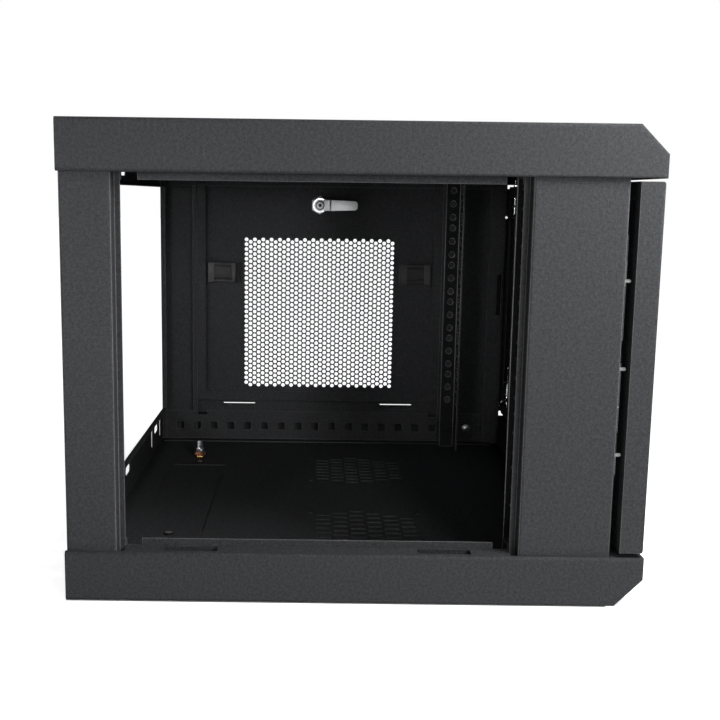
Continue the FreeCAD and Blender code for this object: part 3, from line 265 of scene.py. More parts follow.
def along(axis, place):
    """The matrix from a form's own (across, up, along) to the cabinet, for a form laid on an axis."""
    return Matrix.Translation(place) @ Matrix(AXES[axis]).transposed().to_4x4()


STANDING = along("z", (0, 0, 0))


def shift(lay, across, up, forward):
    """A step in a form's own directions, as a vector of the cabinet."""
    return lay.to_3x3() @ Vector((across, up, forward))


def middle(node):
    """The middle of a node's box."""
    low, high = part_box(node)
    return (low + high) / 2


def put_in_order(mesh):
    """Number corners by their place and faces by their corners, so that each run gives the same mesh."""
    corners = sorted(mesh.verts, key=lambda corner: corner.co[:])
    mesh.verts.sort(key={corner: rank for rank, corner in enumerate(corners)}.get)
    mesh.verts.index_update()
    faces = sorted(mesh.faces, key=lambda face: sorted(corner.index for corner in face.verts))
    mesh.faces.sort(key={face: rank for rank, face in enumerate(faces)}.get)


def mesh_object(name, mesh, finish=None, body=None, stands_for=()):
    """Close a bmesh into an object at the origin, riding on a body in place of plain nodes."""
    bmesh.ops.recalc_face_normals(mesh, faces=mesh.faces)
    put_in_order(mesh)
    for face in mesh.faces:
        face.smooth = True
    for edge in mesh.edges:
        edge.smooth = edge.calc_face_angle(0.0) < SHARP
    data = bpy.data.meshes.new(name)
    mesh.to_mesh(data)
    mesh.free()
    piece = bpy.data.objects.new(name, data)
    bpy.context.scene.collection.objects.link(piece)
    if finish:
        data.materials.append(FINISH[finish])
    if body:
        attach(piece, body)
    if stands_for:
        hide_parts(*stands_for)
    return piece


def only(kind, geometry):
    """The parts of one kind in what an operator gives back."""
    return [part for part in geometry if isinstance(part, kind)]


def arc(centre, radius, start, end, steps):
    """Corners along an arc, angles in degrees."""
    turn = (end - start) / steps
    return [(centre[0] + radius * math.cos(math.radians(start + turn * k)),
             centre[1] + radius * math.sin(math.radians(start + turn * k)))
            for k in range(steps + 1)]


def rounded_box(low, high, radius, steps=4):
    """Outline of a rectangle with round corners."""
    (a, b), (c, d) = low, high
    return (arc((c - radius, d - radius), radius, 0, 90, steps)
            + arc((a + radius, d - radius), radius, 90, 180, steps)
            + arc((a + radius, b + radius), radius, 180, 270, steps)
            + arc((c - radius, b + radius), radius, 270, 360, steps))


def closed_line(mesh, lay, outline, level=0.0):
    """The edges of an outline at a level."""
    corners = [mesh.verts.new(lay @ Vector((u, v, level))) for u, v in outline]
    return [mesh.edges.new(pair) for pair in zip(corners, corners[1:] + corners[:1])]


def thicken(mesh, faces, travel):
    """Pull flat faces into a solid; gives the faces of its far end."""
    grown = bmesh.ops.extrude_face_region(mesh, geom=faces)["geom"]
    bmesh.ops.translate(mesh, verts=only(bmesh.types.BMVert, grown), vec=travel)
    return only(bmesh.types.BMFace, grown)


def plate(mesh, lay, outline, start, end, ease=0.0):
    """A flat form with an outline between two levels, its rims eased."""
    near = bmesh.ops.edgeloop_fill(mesh, edges=closed_line(mesh, lay, outline, start))["faces"]
    far = thicken(mesh, near, shift(lay, 0, 0, end - start))
    if ease:
        rims = [edge for face in near + far for edge in face.edges]
        walls = [face for edge in near[0].edges for face in edge.link_faces if face != near[0]]
        bmesh.ops.recalc_face_normals(mesh, faces=near + far + walls)
        bmesh.ops.bevel(mesh, geom=rims, offset=ease, segments=2, profile=0.5,
                        affect="EDGES", material=-1)


def frame_plate(mesh, lay, outer, inner, start, end):
    """A flat form between two levels, with an outline and an opening."""
    lines = closed_line(mesh, lay, outer, start) + closed_line(mesh, lay, inner, start)
    filled = bmesh.ops.triangle_fill(mesh, edges=lines, use_beauty=True)["geom"]
    thicken(mesh, only(bmesh.types.BMFace, filled), shift(lay, 0, 0, end - start))


def block(mesh, low, high, ease=0.0):
    """A block between two corners of the cabinet's frame."""
    (a, b, c), (d, e, f) = low, high
    plate(mesh, STANDING, [(a, b), (d, b), (d, e), (a, e)], c, f, ease)


def hexed(flats):
    """The radius of a hexagon of that width across flats, at an angle."""
    sixth = math.pi / 3
    return lambda angle: flats / 2 / math.cos((angle + sixth / 2) % sixth - sixth / 2)


def loop_edges(corners):
    """The edges that join the corners of a ring to each other."""
    own = set(corners)
    return list(dict.fromkeys(edge for corner in corners for edge in corner.link_edges
                              if edge.other_vert(corner) in own))


def ring(mesh, place, radius, sides):
    """The edges of a circle about a place's own axis."""
    circle = bmesh.ops.create_circle(mesh, segments=sides, radius=radius, matrix=place)
    return loop_edges(circle["verts"])


def turned(mesh, lay, profile, sides=48, bored=False):
    """A turned form from (radius, level) pairs, with flat ends or with a bore between them.

    A radius is a number, or a function of the angle where the form has flats.
    """
    corners = bmesh.ops.create_circle(mesh, segments=sides, radius=1.0)["verts"]
    rings, every_corner = [], []
    for radius, level in profile:
        if rings:
            grown = bmesh.ops.extrude_edge_only(mesh, edges=rings[-1])["geom"]
            corners = only(bmesh.types.BMVert, grown)
        for corner in corners:
            angle = math.atan2(corner.co.y, corner.co.x)
            reach = radius(angle) if callable(radius) else radius
            corner.co = (reach * math.cos(angle), reach * math.sin(angle), level)
        rings.append(loop_edges(corners))
        every_corner += corners
    if bored:
        bmesh.ops.bridge_loops(mesh, edges=rings[-1] + rings[0])
    else:
        for end in (rings[0], rings[-1]):
            bmesh.ops.edgeloop_fill(mesh, edges=end)
    bmesh.ops.transform(mesh, matrix=lay, verts=every_corner)


def chamfered(radius, start, end, nick):
    """Profile of a rod end to end with both rims eased."""
    return [(radius - nick, start), (radius, start + nick), (radius, end - nick),
            (radius - nick, end)]


def threaded(radius, start, end, pitch, depth):
    """Profile of a thread drawn as rings."""
    profile = [(radius - depth, start)]
    turns = int((end - start) / pitch)
    for k in range(turns):
        level = start + pitch * k
        profile += [(radius, level + pitch * 0.45), (radius, level + pitch * 0.6),
                    (radius - depth, level + pitch)]
    return profile + [(radius - depth, end)]


def hexagon_nut(lay, start, end, bore, flats, nick):
    """A nut with eased corners between two levels."""
    mesh = bmesh.new()
    whole, narrow = hexed(flats), hexed(flats * 0.94)
    turned(mesh, lay, [(bore, start), (narrow, start), (whole, start + nick),
                       (whole, end - nick), (narrow, end), (bore, end)], 72, bored=True)
    return mesh


def tube(mesh, path, radii, sides):
    """A round bar along a path of points, one radius for each point."""
    points = [Vector(point) for point in path]
    across = (points[1] - points[0]).orthogonal()
    rings = []
    for k, point in enumerate(points):
        before, after = points[max(k - 1, 0)], points[min(k + 1, len(points) - 1)]
        heading = (after - before).normalized()
        across = (across - heading * across.dot(heading)).normalized()
        turn = Matrix((across, heading.cross(across), heading)).transposed().to_4x4()
        rings.append(ring(mesh, Matrix.Translation(point) @ turn, radii[k], sides))
    for first, second in zip(rings, rings[1:]):
        bmesh.ops.bridge_loops(mesh, edges=first + second)
    for end in (rings[0], rings[-1]):
        bmesh.ops.edgeloop_fill(mesh, edges=end)


# ---------------------------------------------------------------- side panel
PANEL_LOW, PANEL_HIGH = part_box("side_panel")
PANEL_FOOT = 39.4 * MM
PANEL_TOP = PANEL_HIGH.z + 1.1 * MM
PANEL_HALF = (PANEL_HIGH.y - PANEL_LOW.y) / 2
PANEL_MIDDLE = (PANEL_HIGH.y + PANEL_LOW.y) / 2
GAUGE = 1.2 * MM
SKIN_INSIDE = PANEL_HIGH.x - GAUGE
BEND = 1.0 * MM
TAB_BEND = 0.1 * MM
BEND_STEPS = 5
SILL = 56 * MM
SILL_LIP = 13 * MM
TOP_LIP = 5 * MM
SIDE_LIP = 14 * MM
LIP_CLEARANCE = 0.2 * MM
SLIT = (51.3 * MM, 52.5 * MM)
TAB_FACE = 292.4 * MM
TAB_HEAD = 49 * MM
TAB_HALF = 20 * MM
TAB_OFFSETS = (-99.5 * MM, 99.5 * MM)
HOLE_PITCH = 6 * MM
HOLE_RADIUS = 2.35 * MM
HOLE_SIDES = 12
HOLE_ROWS = 31
HOLE_COLUMNS = 36
COLUMN_STEP = HOLE_PITCH * math.sqrt(3.0) / 2
FIELD_WIDTH = COLUMN_STEP * HOLE_COLUMNS
FIELD_FOOT = 72.5 * MM


def rectangle(left, foot, right, top):
    """Outline of a plain rectangle."""
    return [(left, foot), (right, foot), (right, top), (left, top)]


def repeated(mesh, step, times):
    """All that the mesh holds so far, as many times in all, each copy a step further."""
    first = mesh.verts[:] + mesh.edges[:] + mesh.faces[:]
    for k in range(1, times):
        copy = bmesh.ops.duplicate(mesh, geom=first)["geom"]
        bmesh.ops.translate(mesh, verts=only(bmesh.types.BMVert, copy), vec=step * k)


def perforated_field(mesh, lay):
    """A flat staggered field of round holes, grown from one pierced cell; gives its outer edges."""
    half, rise = COLUMN_STEP / 2, HOLE_PITCH / 2
    left, head = -FIELD_WIDTH / 2, FIELD_FOOT + HOLE_PITCH * HOLE_ROWS
    cell = lay @ Matrix.Translation((left + half, FIELD_FOOT + rise, 0))
    border = [(half, -rise), (half, 0), (half, rise), (-half, rise), (-half, 0), (-half, -rise)]
    lines = closed_line(mesh, cell, border) + ring(mesh, cell, HOLE_RADIUS, HOLE_SIDES)
    bmesh.ops.triangle_fill(mesh, edges=lines, use_beauty=True)
    repeated(mesh, shift(lay, 0, HOLE_PITCH, 0), HOLE_ROWS)
    repeated(mesh, shift(lay, COLUMN_STEP, rise, 0), 2)
    for spare in (rectangle(left, head, left + COLUMN_STEP, head + rise),
                  rectangle(left + COLUMN_STEP, FIELD_FOOT, left + 2 * COLUMN_STEP, FIELD_FOOT + rise)):
        bmesh.ops.edgeloop_fill(mesh, edges=closed_line(mesh, lay, spare))
    repeated(mesh, shift(lay, 2 * COLUMN_STEP, 0, 0), HOLE_COLUMNS // 2)
    bmesh.ops.remove_doubles(mesh, verts=mesh.verts, dist=0.01 * MM)
    return [edge for edge in mesh.edges if edge.is_boundary and edge.calc_length() > HOLE_RADIUS]


def panel_sheet():
    """The panel's skin: one flat sheet with the field of holes and two slits, then its thickness."""
    mesh = bmesh.new()
    lay = along("x", (SKIN_INSIDE, PANEL_MIDDLE, 0))
    lines = perforated_field(mesh, lay)
    lines += closed_line(mesh, lay, rectangle(-PANEL_HALF, PANEL_FOOT, PANEL_HALF, PANEL_TOP))
    for offset in TAB_OFFSETS:
        slit = rectangle(offset - TAB_HALF, SLIT[0], offset + TAB_HALF, SLIT[1])
        lines += closed_line(mesh, lay, slit)
    bmesh.ops.triangle_fill(mesh, edges=lines, use_beauty=True)
    thicken(mesh, mesh.faces[:], shift(lay, 0, 0, GAUGE))
    mesh_object("side_panel_sheet", mesh, "powder_coat", "side_panel", ["side_panel"])


def folded_strip(mesh, lay, path, start, end, bend=BEND):
    """A strip of sheet bent along a path, still without its thickness."""
    line = [mesh.verts.new(lay @ Vector((u, v, start))) for u, v in path]
    edges = [mesh.edges.new(pair) for pair in zip(line, line[1:])]
    grown = bmesh.ops.extrude_edge_only(mesh, edges=edges)["geom"]
    bmesh.ops.translate(mesh, verts=only(bmesh.types.BMVert, grown),
                        vec=shift(lay, 0, 0, end - start))
    creases = [edge for corner in line[1:-1] for edge in corner.link_edges if edge not in edges]
    bmesh.ops.bevel(mesh, geom=creases, offset=bend + GAUGE, segments=BEND_STEPS, profile=0.5,
                    affect="EDGES", material=-1)


def panel_folds():
    """The panel's folded edges, sill and tabs; each path has the sheet's thickness on its left."""
    mesh = bmesh.new()
    front, rear, lip = PANEL_LOW.y, PANEL_HIGH.y, PANEL_LOW.x
    sides = (SILL + SILL_LIP + LIP_CLEARANCE, PANEL_TOP - TOP_LIP - LIP_CLEARANCE)
    folded_strip(mesh, STANDING, ((lip, front + SIDE_LIP), (lip, front), (SKIN_INSIDE, front)), *sides)
    folded_strip(mesh, STANDING, ((SKIN_INSIDE, rear), (lip, rear), (lip, rear - SIDE_LIP)), *sides)
    level = along("-y", (0, rear, 0))
    for path in (((lip, SILL + SILL_LIP), (lip, SILL), (SKIN_INSIDE, SILL)),
                 ((SKIN_INSIDE, PANEL_TOP), (lip, PANEL_TOP), (lip, PANEL_TOP - TOP_LIP))):
        folded_strip(mesh, level, path, 0.0, rear - front)
    tab = ((SKIN_INSIDE, TAB_HEAD), (TAB_FACE, TAB_HEAD), (TAB_FACE, PANEL_LOW.z))
    for offset in TAB_OFFSETS:
        far = rear - PANEL_MIDDLE - offset
        folded_strip(mesh, level, tab, far - TAB_HALF, far + TAB_HALF, TAB_BEND)
    bmesh.ops.solidify(mesh, geom=mesh.faces[:], thickness=-GAUGE)
    folds = mesh_object("side_panel_folds", mesh, "powder_coat", "side_panel")
    # the lighter second finish on the folds' eased edges is a painted highlight
    folds.data.materials.append(FINISH["bend_highlight"])
    eased(folds, 0.5 * MM)


# ---------------------------------------------------------------- locks
BARREL_RADIUS = 9.0 * MM
THREAD_PITCH = 1.25 * MM
THREAD_DEPTH = 0.45 * MM
FLANGE_RADIUS = 11 * MM
PLUG_RADIUS = 6.0 * MM
PLUG_RIM = 0.2 * MM
PLUG_SINK = 0.4 * MM
KEY_SLOT = (3.2 * MM, 0.7 * MM)
CAM_GAUGE = 2.0 * MM


def lock_nut(name, node, axis, body, start, flats):
    """The hexagon nut on a lock's barrel."""
    low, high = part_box(node)
    mesh = hexagon_nut(along(axis, start), 0.0, min(high - low), BARREL_RADIUS + 0.05 * MM, flats,
                       0.6 * MM)
    mesh_object(name, mesh, "satin_zinc", body, [node])


def lock_barrel(name, node, axis, body, inner_end, length, head):
    """A cam lock's barrel: fine thread, a domed flange outside and a keyway, drawn as a dark plate:
    painted shade in the key slot.
    """
    mesh = bmesh.new()
    lay = along(axis, inner_end)
    face = length + head
    groove = face - PLUG_SINK
    profile = threaded(BARREL_RADIUS, 0.0, length - 0.3 * MM, THREAD_PITCH, THREAD_DEPTH)
    profile += [(FLANGE_RADIUS, length), (FLANGE_RADIUS, length + head * 0.6),
                (FLANGE_RADIUS - 0.7 * MM, face), (PLUG_RADIUS + PLUG_RIM, face),
                (PLUG_RADIUS, groove), (4.6 * MM, groove), (4.4 * MM, face)]
    turned(mesh, lay, profile)
    mesh_object(name, mesh, "chrome", body, [node])
    # the key slot is a thin dark plate standing on the plug's face: painted shade in the slot
    key = bmesh.new()
    half, thin = KEY_SLOT
    plate(key, lay, rounded_box((-half, -thin), KEY_SLOT, 0.6 * MM), face - 0.2 * MM,
          face + 0.12 * MM)
    mesh_object(name + "_keyway_shade", key, "black_plastic", body)


def panel_lock():
    """Cam, screw, washer, nut and barrel of the side panel's lock."""
    low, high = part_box("panel_lock_cam")
    hub = Vector((high.x, middle("panel_lock_barrel").y, middle("panel_lock_cam").z))
    barrel_low, barrel_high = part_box("panel_lock_barrel")
    skin = PANEL_HIGH.x
    lock_barrel("panel_lock_body", "panel_lock_barrel", "x", "side_panel",
                (barrel_low.x, hub.y, hub.z), skin - barrel_low.x, barrel_high.x - skin)
    nut_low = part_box("panel_lock_nut")[0]
    lock_nut("panel_lock_hexagon", "panel_lock_nut", "x", "side_panel",
             (nut_low.x, hub.y, hub.z), 19.6 * MM)
    mesh = bmesh.new()
    half = 6.6 * MM
    disc = 7.4 * MM
    jog = 14 * MM
    raised = 4 * MM
    round_end = 4 * MM
    lay = along("-x", (high.x, hub.y, hub.z))
    reach = math.degrees(math.asin(half / disc))
    root = arc((0, 0), disc, reach, 360 - reach, 36) + [(jog, -half), (jog, half)]
    plate(mesh, lay, root, 0.0, CAM_GAUGE, 0.3 * MM)
    riser = rectangle(jog - CAM_GAUGE, -half, jog, half)
    plate(mesh, lay, riser, CAM_GAUGE * 0.9, raised + CAM_GAUGE, 0.25 * MM)
    tip = hub.y - low.y
    nose = half - 1.0 * MM
    finger = (arc((tip - round_end, -nose + round_end), round_end, -90, 0, 6)
              + arc((tip - round_end, nose - round_end), round_end, 0, 90, 6)
              + [(jog - CAM_GAUGE, half), (jog - CAM_GAUGE, -half)])
    plate(mesh, lay, finger, raised, raised + CAM_GAUGE, 0.3 * MM)
    mesh_object("panel_lock_lever", mesh, "satin_zinc", "panel_lock_cam", ["panel_lock_cam"])
    cap_screw("panel_lock_screw", "panel_lock_cam_screw", "-x", "panel_lock_cam",
              (high.x - CAM_GAUGE, hub.y, hub.z), 5.6 * MM, 4.4 * MM)


def cap_screw(name, node, axis, body, start, washer, head):
    """A washer and a round head with a hexagon socket; dark plates at the socket's floor and round the
    head's foot on the washer are painted shade.
    """
    mesh = bmesh.new()
    lay = along(axis, start)
    turned(mesh, lay, chamfered(washer, 0.0, 1.0 * MM, 0.2 * MM), 40)
    turned(mesh, lay, [(head, 1 * MM), (head, 3.2 * MM), (head * 0.9, 3.8 * MM),
                       (head * 0.78, 4.0 * MM), (hexed(4.2 * MM), 4.0 * MM),
                       (hexed(4.0 * MM), 3.8 * MM), (hexed(4.0 * MM), 1.6 * MM)], 48)
    mesh_object(name, mesh, "satin_zinc", body, [node])
    # dark hexagon at the socket's floor and dark ring on the washer round the head: painted shade
    pit = bmesh.new()
    turned(pit, lay, [(hexed(3.9 * MM), 1.7 * MM), (hexed(3.9 * MM), 2.0 * MM)], 24)
    turned(pit, lay, [(washer * 0.96, 1.0 * MM), (washer * 0.96, 1.25 * MM),
                      (washer * 0.84, 1.25 * MM)], 40)
    mesh_object(name + "_socket_shade", pit, "black_plastic", body)


def door_lock():
    """Cam, nut and barrel of the door's lock."""
    low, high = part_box("door_lock_barrel")
    place = middle("door_lock_barrel")
    door_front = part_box("door_frame")[0].y
    lock_barrel("door_lock_body", "door_lock_barrel", "-y", "door",
                (place.x, high.y, place.z), high.y - door_front, door_front - low.y)
    nut_low, nut_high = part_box("door_lock_nut")
    lock_nut("door_lock_hexagon", "door_lock_nut", "-y", "door",
             (place.x, nut_high.y, place.z), nut_high.z - nut_low.z)
    mesh = bmesh.new()
    half = 5.0 * MM
    disc = 8.0 * MM
    reach = math.degrees(math.asin(half / disc))
    tip = place.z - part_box("door_lock_cam")[0].z
    seat = high.y + 0.2 * MM
    outline = (arc((0, 0), disc, -90 + reach, 270 - reach, 30)
               + arc((0, half - tip), half, 180, 360, 12))
    plate(mesh, along("y", (place.x, seat, place.z)), outline, 0.0, CAM_GAUGE, 0.3 * MM)
    turned(mesh, along("y", (place.x, seat + CAM_GAUGE, place.z)),
           [(hexed(8 * MM), 0.0), (hexed(8 * MM), 2.5 * MM), (hexed(7.4 * MM), 3.0 * MM)], 48)
    mesh_object("door_lock_lever", mesh, "zinc", "door_lock_cam", ["door_lock_cam"])


# ---------------------------------------------------------------- slide latches
LATCH_CAP = 1.4 * MM
LATCH_END = 7.3 * MM
LATCH_BAR = (28.9 * MM, 33.0 * MM)
HOOD_START = 32.6 * MM
HOOD_WALL = 1.3 * MM
SLIDE_SPAN = (0.4 * MM, 30 * MM)
SLIDE_FACE = 1.8 * MM
SLIDE_PLAY = 0.3 * MM
THUMB_RIB = (24.6 * MM, 28.4 * MM)
THUMB_RISE = 1.2 * MM
GUIDE_LINE = (12 * MM, 19 * MM)
GUIDE_HALF = 0.4 * MM


def slide_latches():
    """Two moulded latches: a base with two raised ends, and a flat slide with a thumb rib. The base,
    with its recess and the hood at the inner end, is a darker plastic than the raised ends: painted
    shade.
    """
    for tag, sign in (("rear", 1), ("front", -1)):
        low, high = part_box("latch_housing_" + tag)
        bolt_low, bolt_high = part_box("latch_bolt_" + tag)
        level = (low.z + high.z) / 2
        outer = high.y if sign > 0 else low.y
        length = high.y - low.y
        half = (high.z - low.z) / 2
        blade = (bolt_high.z - bolt_low.z) / 2
        under = bolt_high.x + 0.2 * MM

        def slab(mesh, span, depth, rise, ease=0.2 * MM):
            """A block between two distances in from the latch's outer end."""
            near, far = sorted(outer - sign * distance for distance in span)
            block(mesh, (depth[0], near, level + rise[0]), (depth[1], far, level + rise[1]), ease)

        base = bmesh.new()
        slab(base, (0.0, length), (under, high.x), (-half, half))
        for wall in ((-half, -blade - SLIDE_PLAY), (blade + SLIDE_PLAY, half)):
            slab(base, (0.0, length - 0.5 * MM), (low.x + 2.0 * MM, under), wall)
        drop, tail = under - low.x, length - HOOD_START
        turn = [math.radians(angle) for angle in range(0, 91, 15)]
        crown = [(low.x + drop * (1 - math.cos(a)), HOOD_START + tail * math.sin(a)) for a in turn]
        inside = [(min(x + HOOD_WALL, under), reach - 1.0 * MM) for x, reach in reversed(crown)]
        hood = [(x, outer - sign * reach) for x, reach in crown + inside]
        plate(base, along("z", (0, 0, level)), hood, -half, half, 0.15 * MM)

        ends = bmesh.new()
        cap = (low.x, low.x + LATCH_CAP)
        slab(ends, (0.0, LATCH_END), cap, (-half, half), 0.7 * MM)
        slab(ends, LATCH_BAR, cap, (-half, half), 0.5 * MM)

        slide = bmesh.new()
        face = low.x + SLIDE_FACE
        root = face + 0.3 * MM
        slab(slide, SLIDE_SPAN, (face, bolt_high.x), (-blade, blade))
        slab(slide, THUMB_RIB, (low.x - THUMB_RISE, root), (-blade, blade), 0.4 * MM)
        slab(slide, GUIDE_LINE, (face - 0.35 * MM, root), (-GUIDE_HALF, GUIDE_HALF), 0.1 * MM)

        bolt, housing = "latch_bolt_" + tag, "latch_housing_" + tag
        mesh_object("latch_case_" + tag, ends, "latch_moulding", "side_panel", [housing])
        # the darker base, its recess and hood: painted shade in the recess and under the hood
        mesh_object("latch_shaded_base_" + tag, base, "black_plastic", "side_panel")
        mesh_object("latch_slide_" + tag, slide, "black_plastic", bolt, [bolt])


# ---------------------------------------------------------------- hinge pins and springs
PIN_RADIUS = 2.8 * MM
PIN_NOSE = 1.2 * MM
COLLAR_RADIUS = 4.35 * MM
COLLAR = 1.5 * MM
COLLAR_GAP = 0.3 * MM
KNOB_RADIUS = 3.3 * MM
NECK_RADIUS = 1.7 * MM
HANDLE_RADIUS = 2.25 * MM
HANDLE_LENGTH = 46 * MM
HANDLE_LEAN = math.radians(21.5)
HANDLE_BEND = 4.0 * MM


def bent_pin(mesh, axis, lean, low, high):
    """The upper pin: one bar from the handle's end through the bend to the pin's nose."""
    corner = axis + Vector((0, 0, low.z + HANDLE_RADIUS))
    path = [corner + lean * HANDLE_LENGTH, corner + lean * (HANDLE_LENGTH - 1 * MM)]
    radii = [HANDLE_RADIUS * 0.7, HANDLE_RADIUS]
    steps = 8
    for step in range(steps + 1):
        turn = math.radians(90.0 * step / steps)
        path.append(corner + lean * HANDLE_BEND * (1 - math.sin(turn))
                    + Vector((0, 0, HANDLE_BEND * (1 - math.cos(turn)))))
        radii.append(HANDLE_RADIUS + (PIN_RADIUS - HANDLE_RADIUS) * step / steps)
    path += [axis + Vector((0, 0, high.z - PIN_NOSE)), axis + Vector((0, 0, high.z))]
    radii += [PIN_RADIUS, PIN_RADIUS * 0.62]
    tube(mesh, path, radii, 24)


def knobbed_pin(mesh, axis, lean, low, high):
    """The lower pin: a turned pin with a knob, and a handle through it under the spring."""
    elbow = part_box("hinge_spring_bottom")[0].z - 3.8 * MM - HANDLE_RADIUS
    corner = axis + Vector((0, 0, elbow))
    tube(mesh, [corner + lean * HANDLE_LENGTH, corner + lean * (HANDLE_LENGTH - 1 * MM),
                corner + lean * 2 * MM, corner],
         [HANDLE_RADIUS * 0.7, HANDLE_RADIUS, HANDLE_RADIUS, HANDLE_RADIUS], 20)
    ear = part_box("pin_bracket_bottom")[1].z
    knob = high.z - KNOB_RADIUS
    ball = [(KNOB_RADIUS * math.sin(math.radians(angle)),
             knob - KNOB_RADIUS * math.cos(math.radians(angle))) for angle in range(35, 175, 15)]
    turned(mesh, along("z", axis),
           [(PIN_RADIUS * 0.62, low.z), (PIN_RADIUS, low.z + PIN_NOSE),
            (PIN_RADIUS, ear + 0.5 * MM), (2.4 * MM, ear + 1.2 * MM),
            (NECK_RADIUS, ear + 1.6 * MM), (NECK_RADIUS, knob - 2.8 * MM)] + ball, 28)


def hinge_pins():
    """Two spring pins with a handle and a collar each; the lower one ends in a knob."""
    lean = Vector((-math.cos(HANDLE_LEAN), math.sin(HANDLE_LEAN), 0))
    for tag, pin in (("top", bent_pin), ("bottom", knobbed_pin)):
        node = "hinge_pin_" + tag
        low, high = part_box(node)
        spring_low, spring_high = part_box("hinge_spring_" + tag)
        axis = Vector((high.x - 4.6 * MM, middle("hinge_spring_" + tag).y, 0))
        mesh = bmesh.new()
        pin(mesh, axis, lean, low, high)
        collar = (spring_high.z + COLLAR_GAP if tag == "top"
                  else spring_low.z - COLLAR_GAP - COLLAR)
        turned(mesh, along("z", axis), [(PIN_RADIUS, collar)]
               + chamfered(COLLAR_RADIUS, collar, collar + COLLAR, 0.3 * MM)
               + [(PIN_RADIUS, collar + COLLAR)], 32)
        mesh_object("spring_pin_" + tag, mesh, "chrome", node, [node])


WIRE = 0.45 * MM
COIL_TURNS = 7.0
CLOSED_TURNS = 0.8
COIL_STEPS = 16


def hinge_springs():
    """Two compression springs with closed ends."""
    for tag, joint in (("top", "hinge_pin_top_slide"), ("bottom", "hinge_pin_bottom_slide")):
        node = "hinge_spring_" + tag
        low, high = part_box(node)
        radius = (high.x - low.x) / 2 - WIRE
        centre = (low + high) / 2
        length = high.z - low.z - WIRE * 2
        total = int(COIL_TURNS * COIL_STEPS)
        path = []
        for k in range(total + 1):
            angle = 2 * math.pi * k / COIL_STEPS
            share = (k / COIL_STEPS - CLOSED_TURNS) / (COIL_TURNS - 2 * CLOSED_TURNS)
            rise = length * share
            if share <= 0.0:
                rise = WIRE * 0.4 * k / COIL_STEPS
            if share >= 1.0:
                rise = length - WIRE * 0.4 * (total - k) / COIL_STEPS
            path.append((centre.x + radius * math.cos(angle), centre.y + radius * math.sin(angle),
                         low.z + WIRE + rise))
        mesh = bmesh.new()
        tube(mesh, path, [WIRE] * len(path), 8)
        coil = mesh_object("coil_" + tag, mesh, "spring_steel", "door", [node])
        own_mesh(coil)


# ---------------------------------------------------------------- fixings
SCREW_HALF = 10.6 * MM
SCREW_RISE = 158.5 * MM
FOOT_FACE = 275.0 * MM


def screw_places():
    """Side, depth and height of the eight screws through the rails' feet."""
    centre = middle("rail_screws")
    return [(side, centre.y + across, centre.z + rise) for side in (-1, 1)
            for rise in (-SCREW_RISE, SCREW_RISE) for across in (-SCREW_HALF, SCREW_HALF)]


def rail_screws():
    """Round heads with a cross recess and a washer, through feet and depth rails; the cross recess is a
    dark cross laid on the dome, painted shade.
    """
    mesh = bmesh.new()
    recess_shade = bmesh.new()
    washer, dome, shank = 5.2 * MM, 4.8 * MM, 2.95 * MM
    for side, y, level in screw_places():
        lay = along("-x" if side > 0 else "x", (FOOT_FACE * side, y, level))
        turned(mesh, lay, [(washer, 0.0), (washer, 0.7 * MM), (4.9 * MM, 0.8 * MM),
                           (dome, 1.6 * MM), (4.2 * MM, 2.5 * MM), (3.0 * MM, 3.0 * MM),
                           (1.4 * MM, 3.2 * MM)], 24)
        turned(mesh, lay, [(2.6 * MM, -11.0 * MM), (shank, -10.5 * MM), (shank, 0.0)], 16)
        for slot in ((0.5 * MM, 2.1 * MM), (2.1 * MM, 0.5 * MM)):
            plate(recess_shade, lay, rounded_box((-slot[0], -slot[1]), slot, 0.3 * MM, 2),
                  2.6 * MM, 3.26 * MM)
    # the dark cross on each dome stands for the recess: painted shade
    mesh_object("rail_screw_heads", mesh, "zinc", "cabinet", ["rail_screws"])
    mesh_object("rail_screw_recess_shade", recess_shade, "black_screw", "cabinet")


def cage_nuts():
    """Spring cages with a square nut each, outside the depth rails."""
    mesh = bmesh.new()
    rail_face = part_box("base_rail_right")[1].x
    nut, flap_near, flap_far, cage = 4.6 * MM, 4.7 * MM, 5.7 * MM, 4.4 * MM
    square = rounded_box((-nut, -nut), (nut, nut), 0.5 * MM, 8)
    back = rounded_box((-flap_far, -cage), (flap_far, cage), 0.6 * MM, 8)
    for side, y, level in screw_places():
        lay = along("x" if side > 0 else "-x", (rail_face * side, y, level))
        frame_plate(mesh, lay, square, arc((0, 0), 3.1 * MM, 0, 350, 35), 0.4 * MM, 4.8 * MM)
        for near, far in ((-flap_far, -flap_near), (flap_near, flap_far)):
            flap = rounded_box((near, -cage), (far, cage), 0.3 * MM, 2)
            plate(mesh, lay, flap, 0.0, 4.0 * MM, 0.15 * MM)
        frame_plate(mesh, lay, back, arc((0, 0), 3.3 * MM, 0, 350, 35), 4.4 * MM, 5.0 * MM)
    mesh_object("cage_nut_set", mesh, "zinc", "cabinet", ["cage_nuts"])


EARTH_BORE = 2.9 * MM


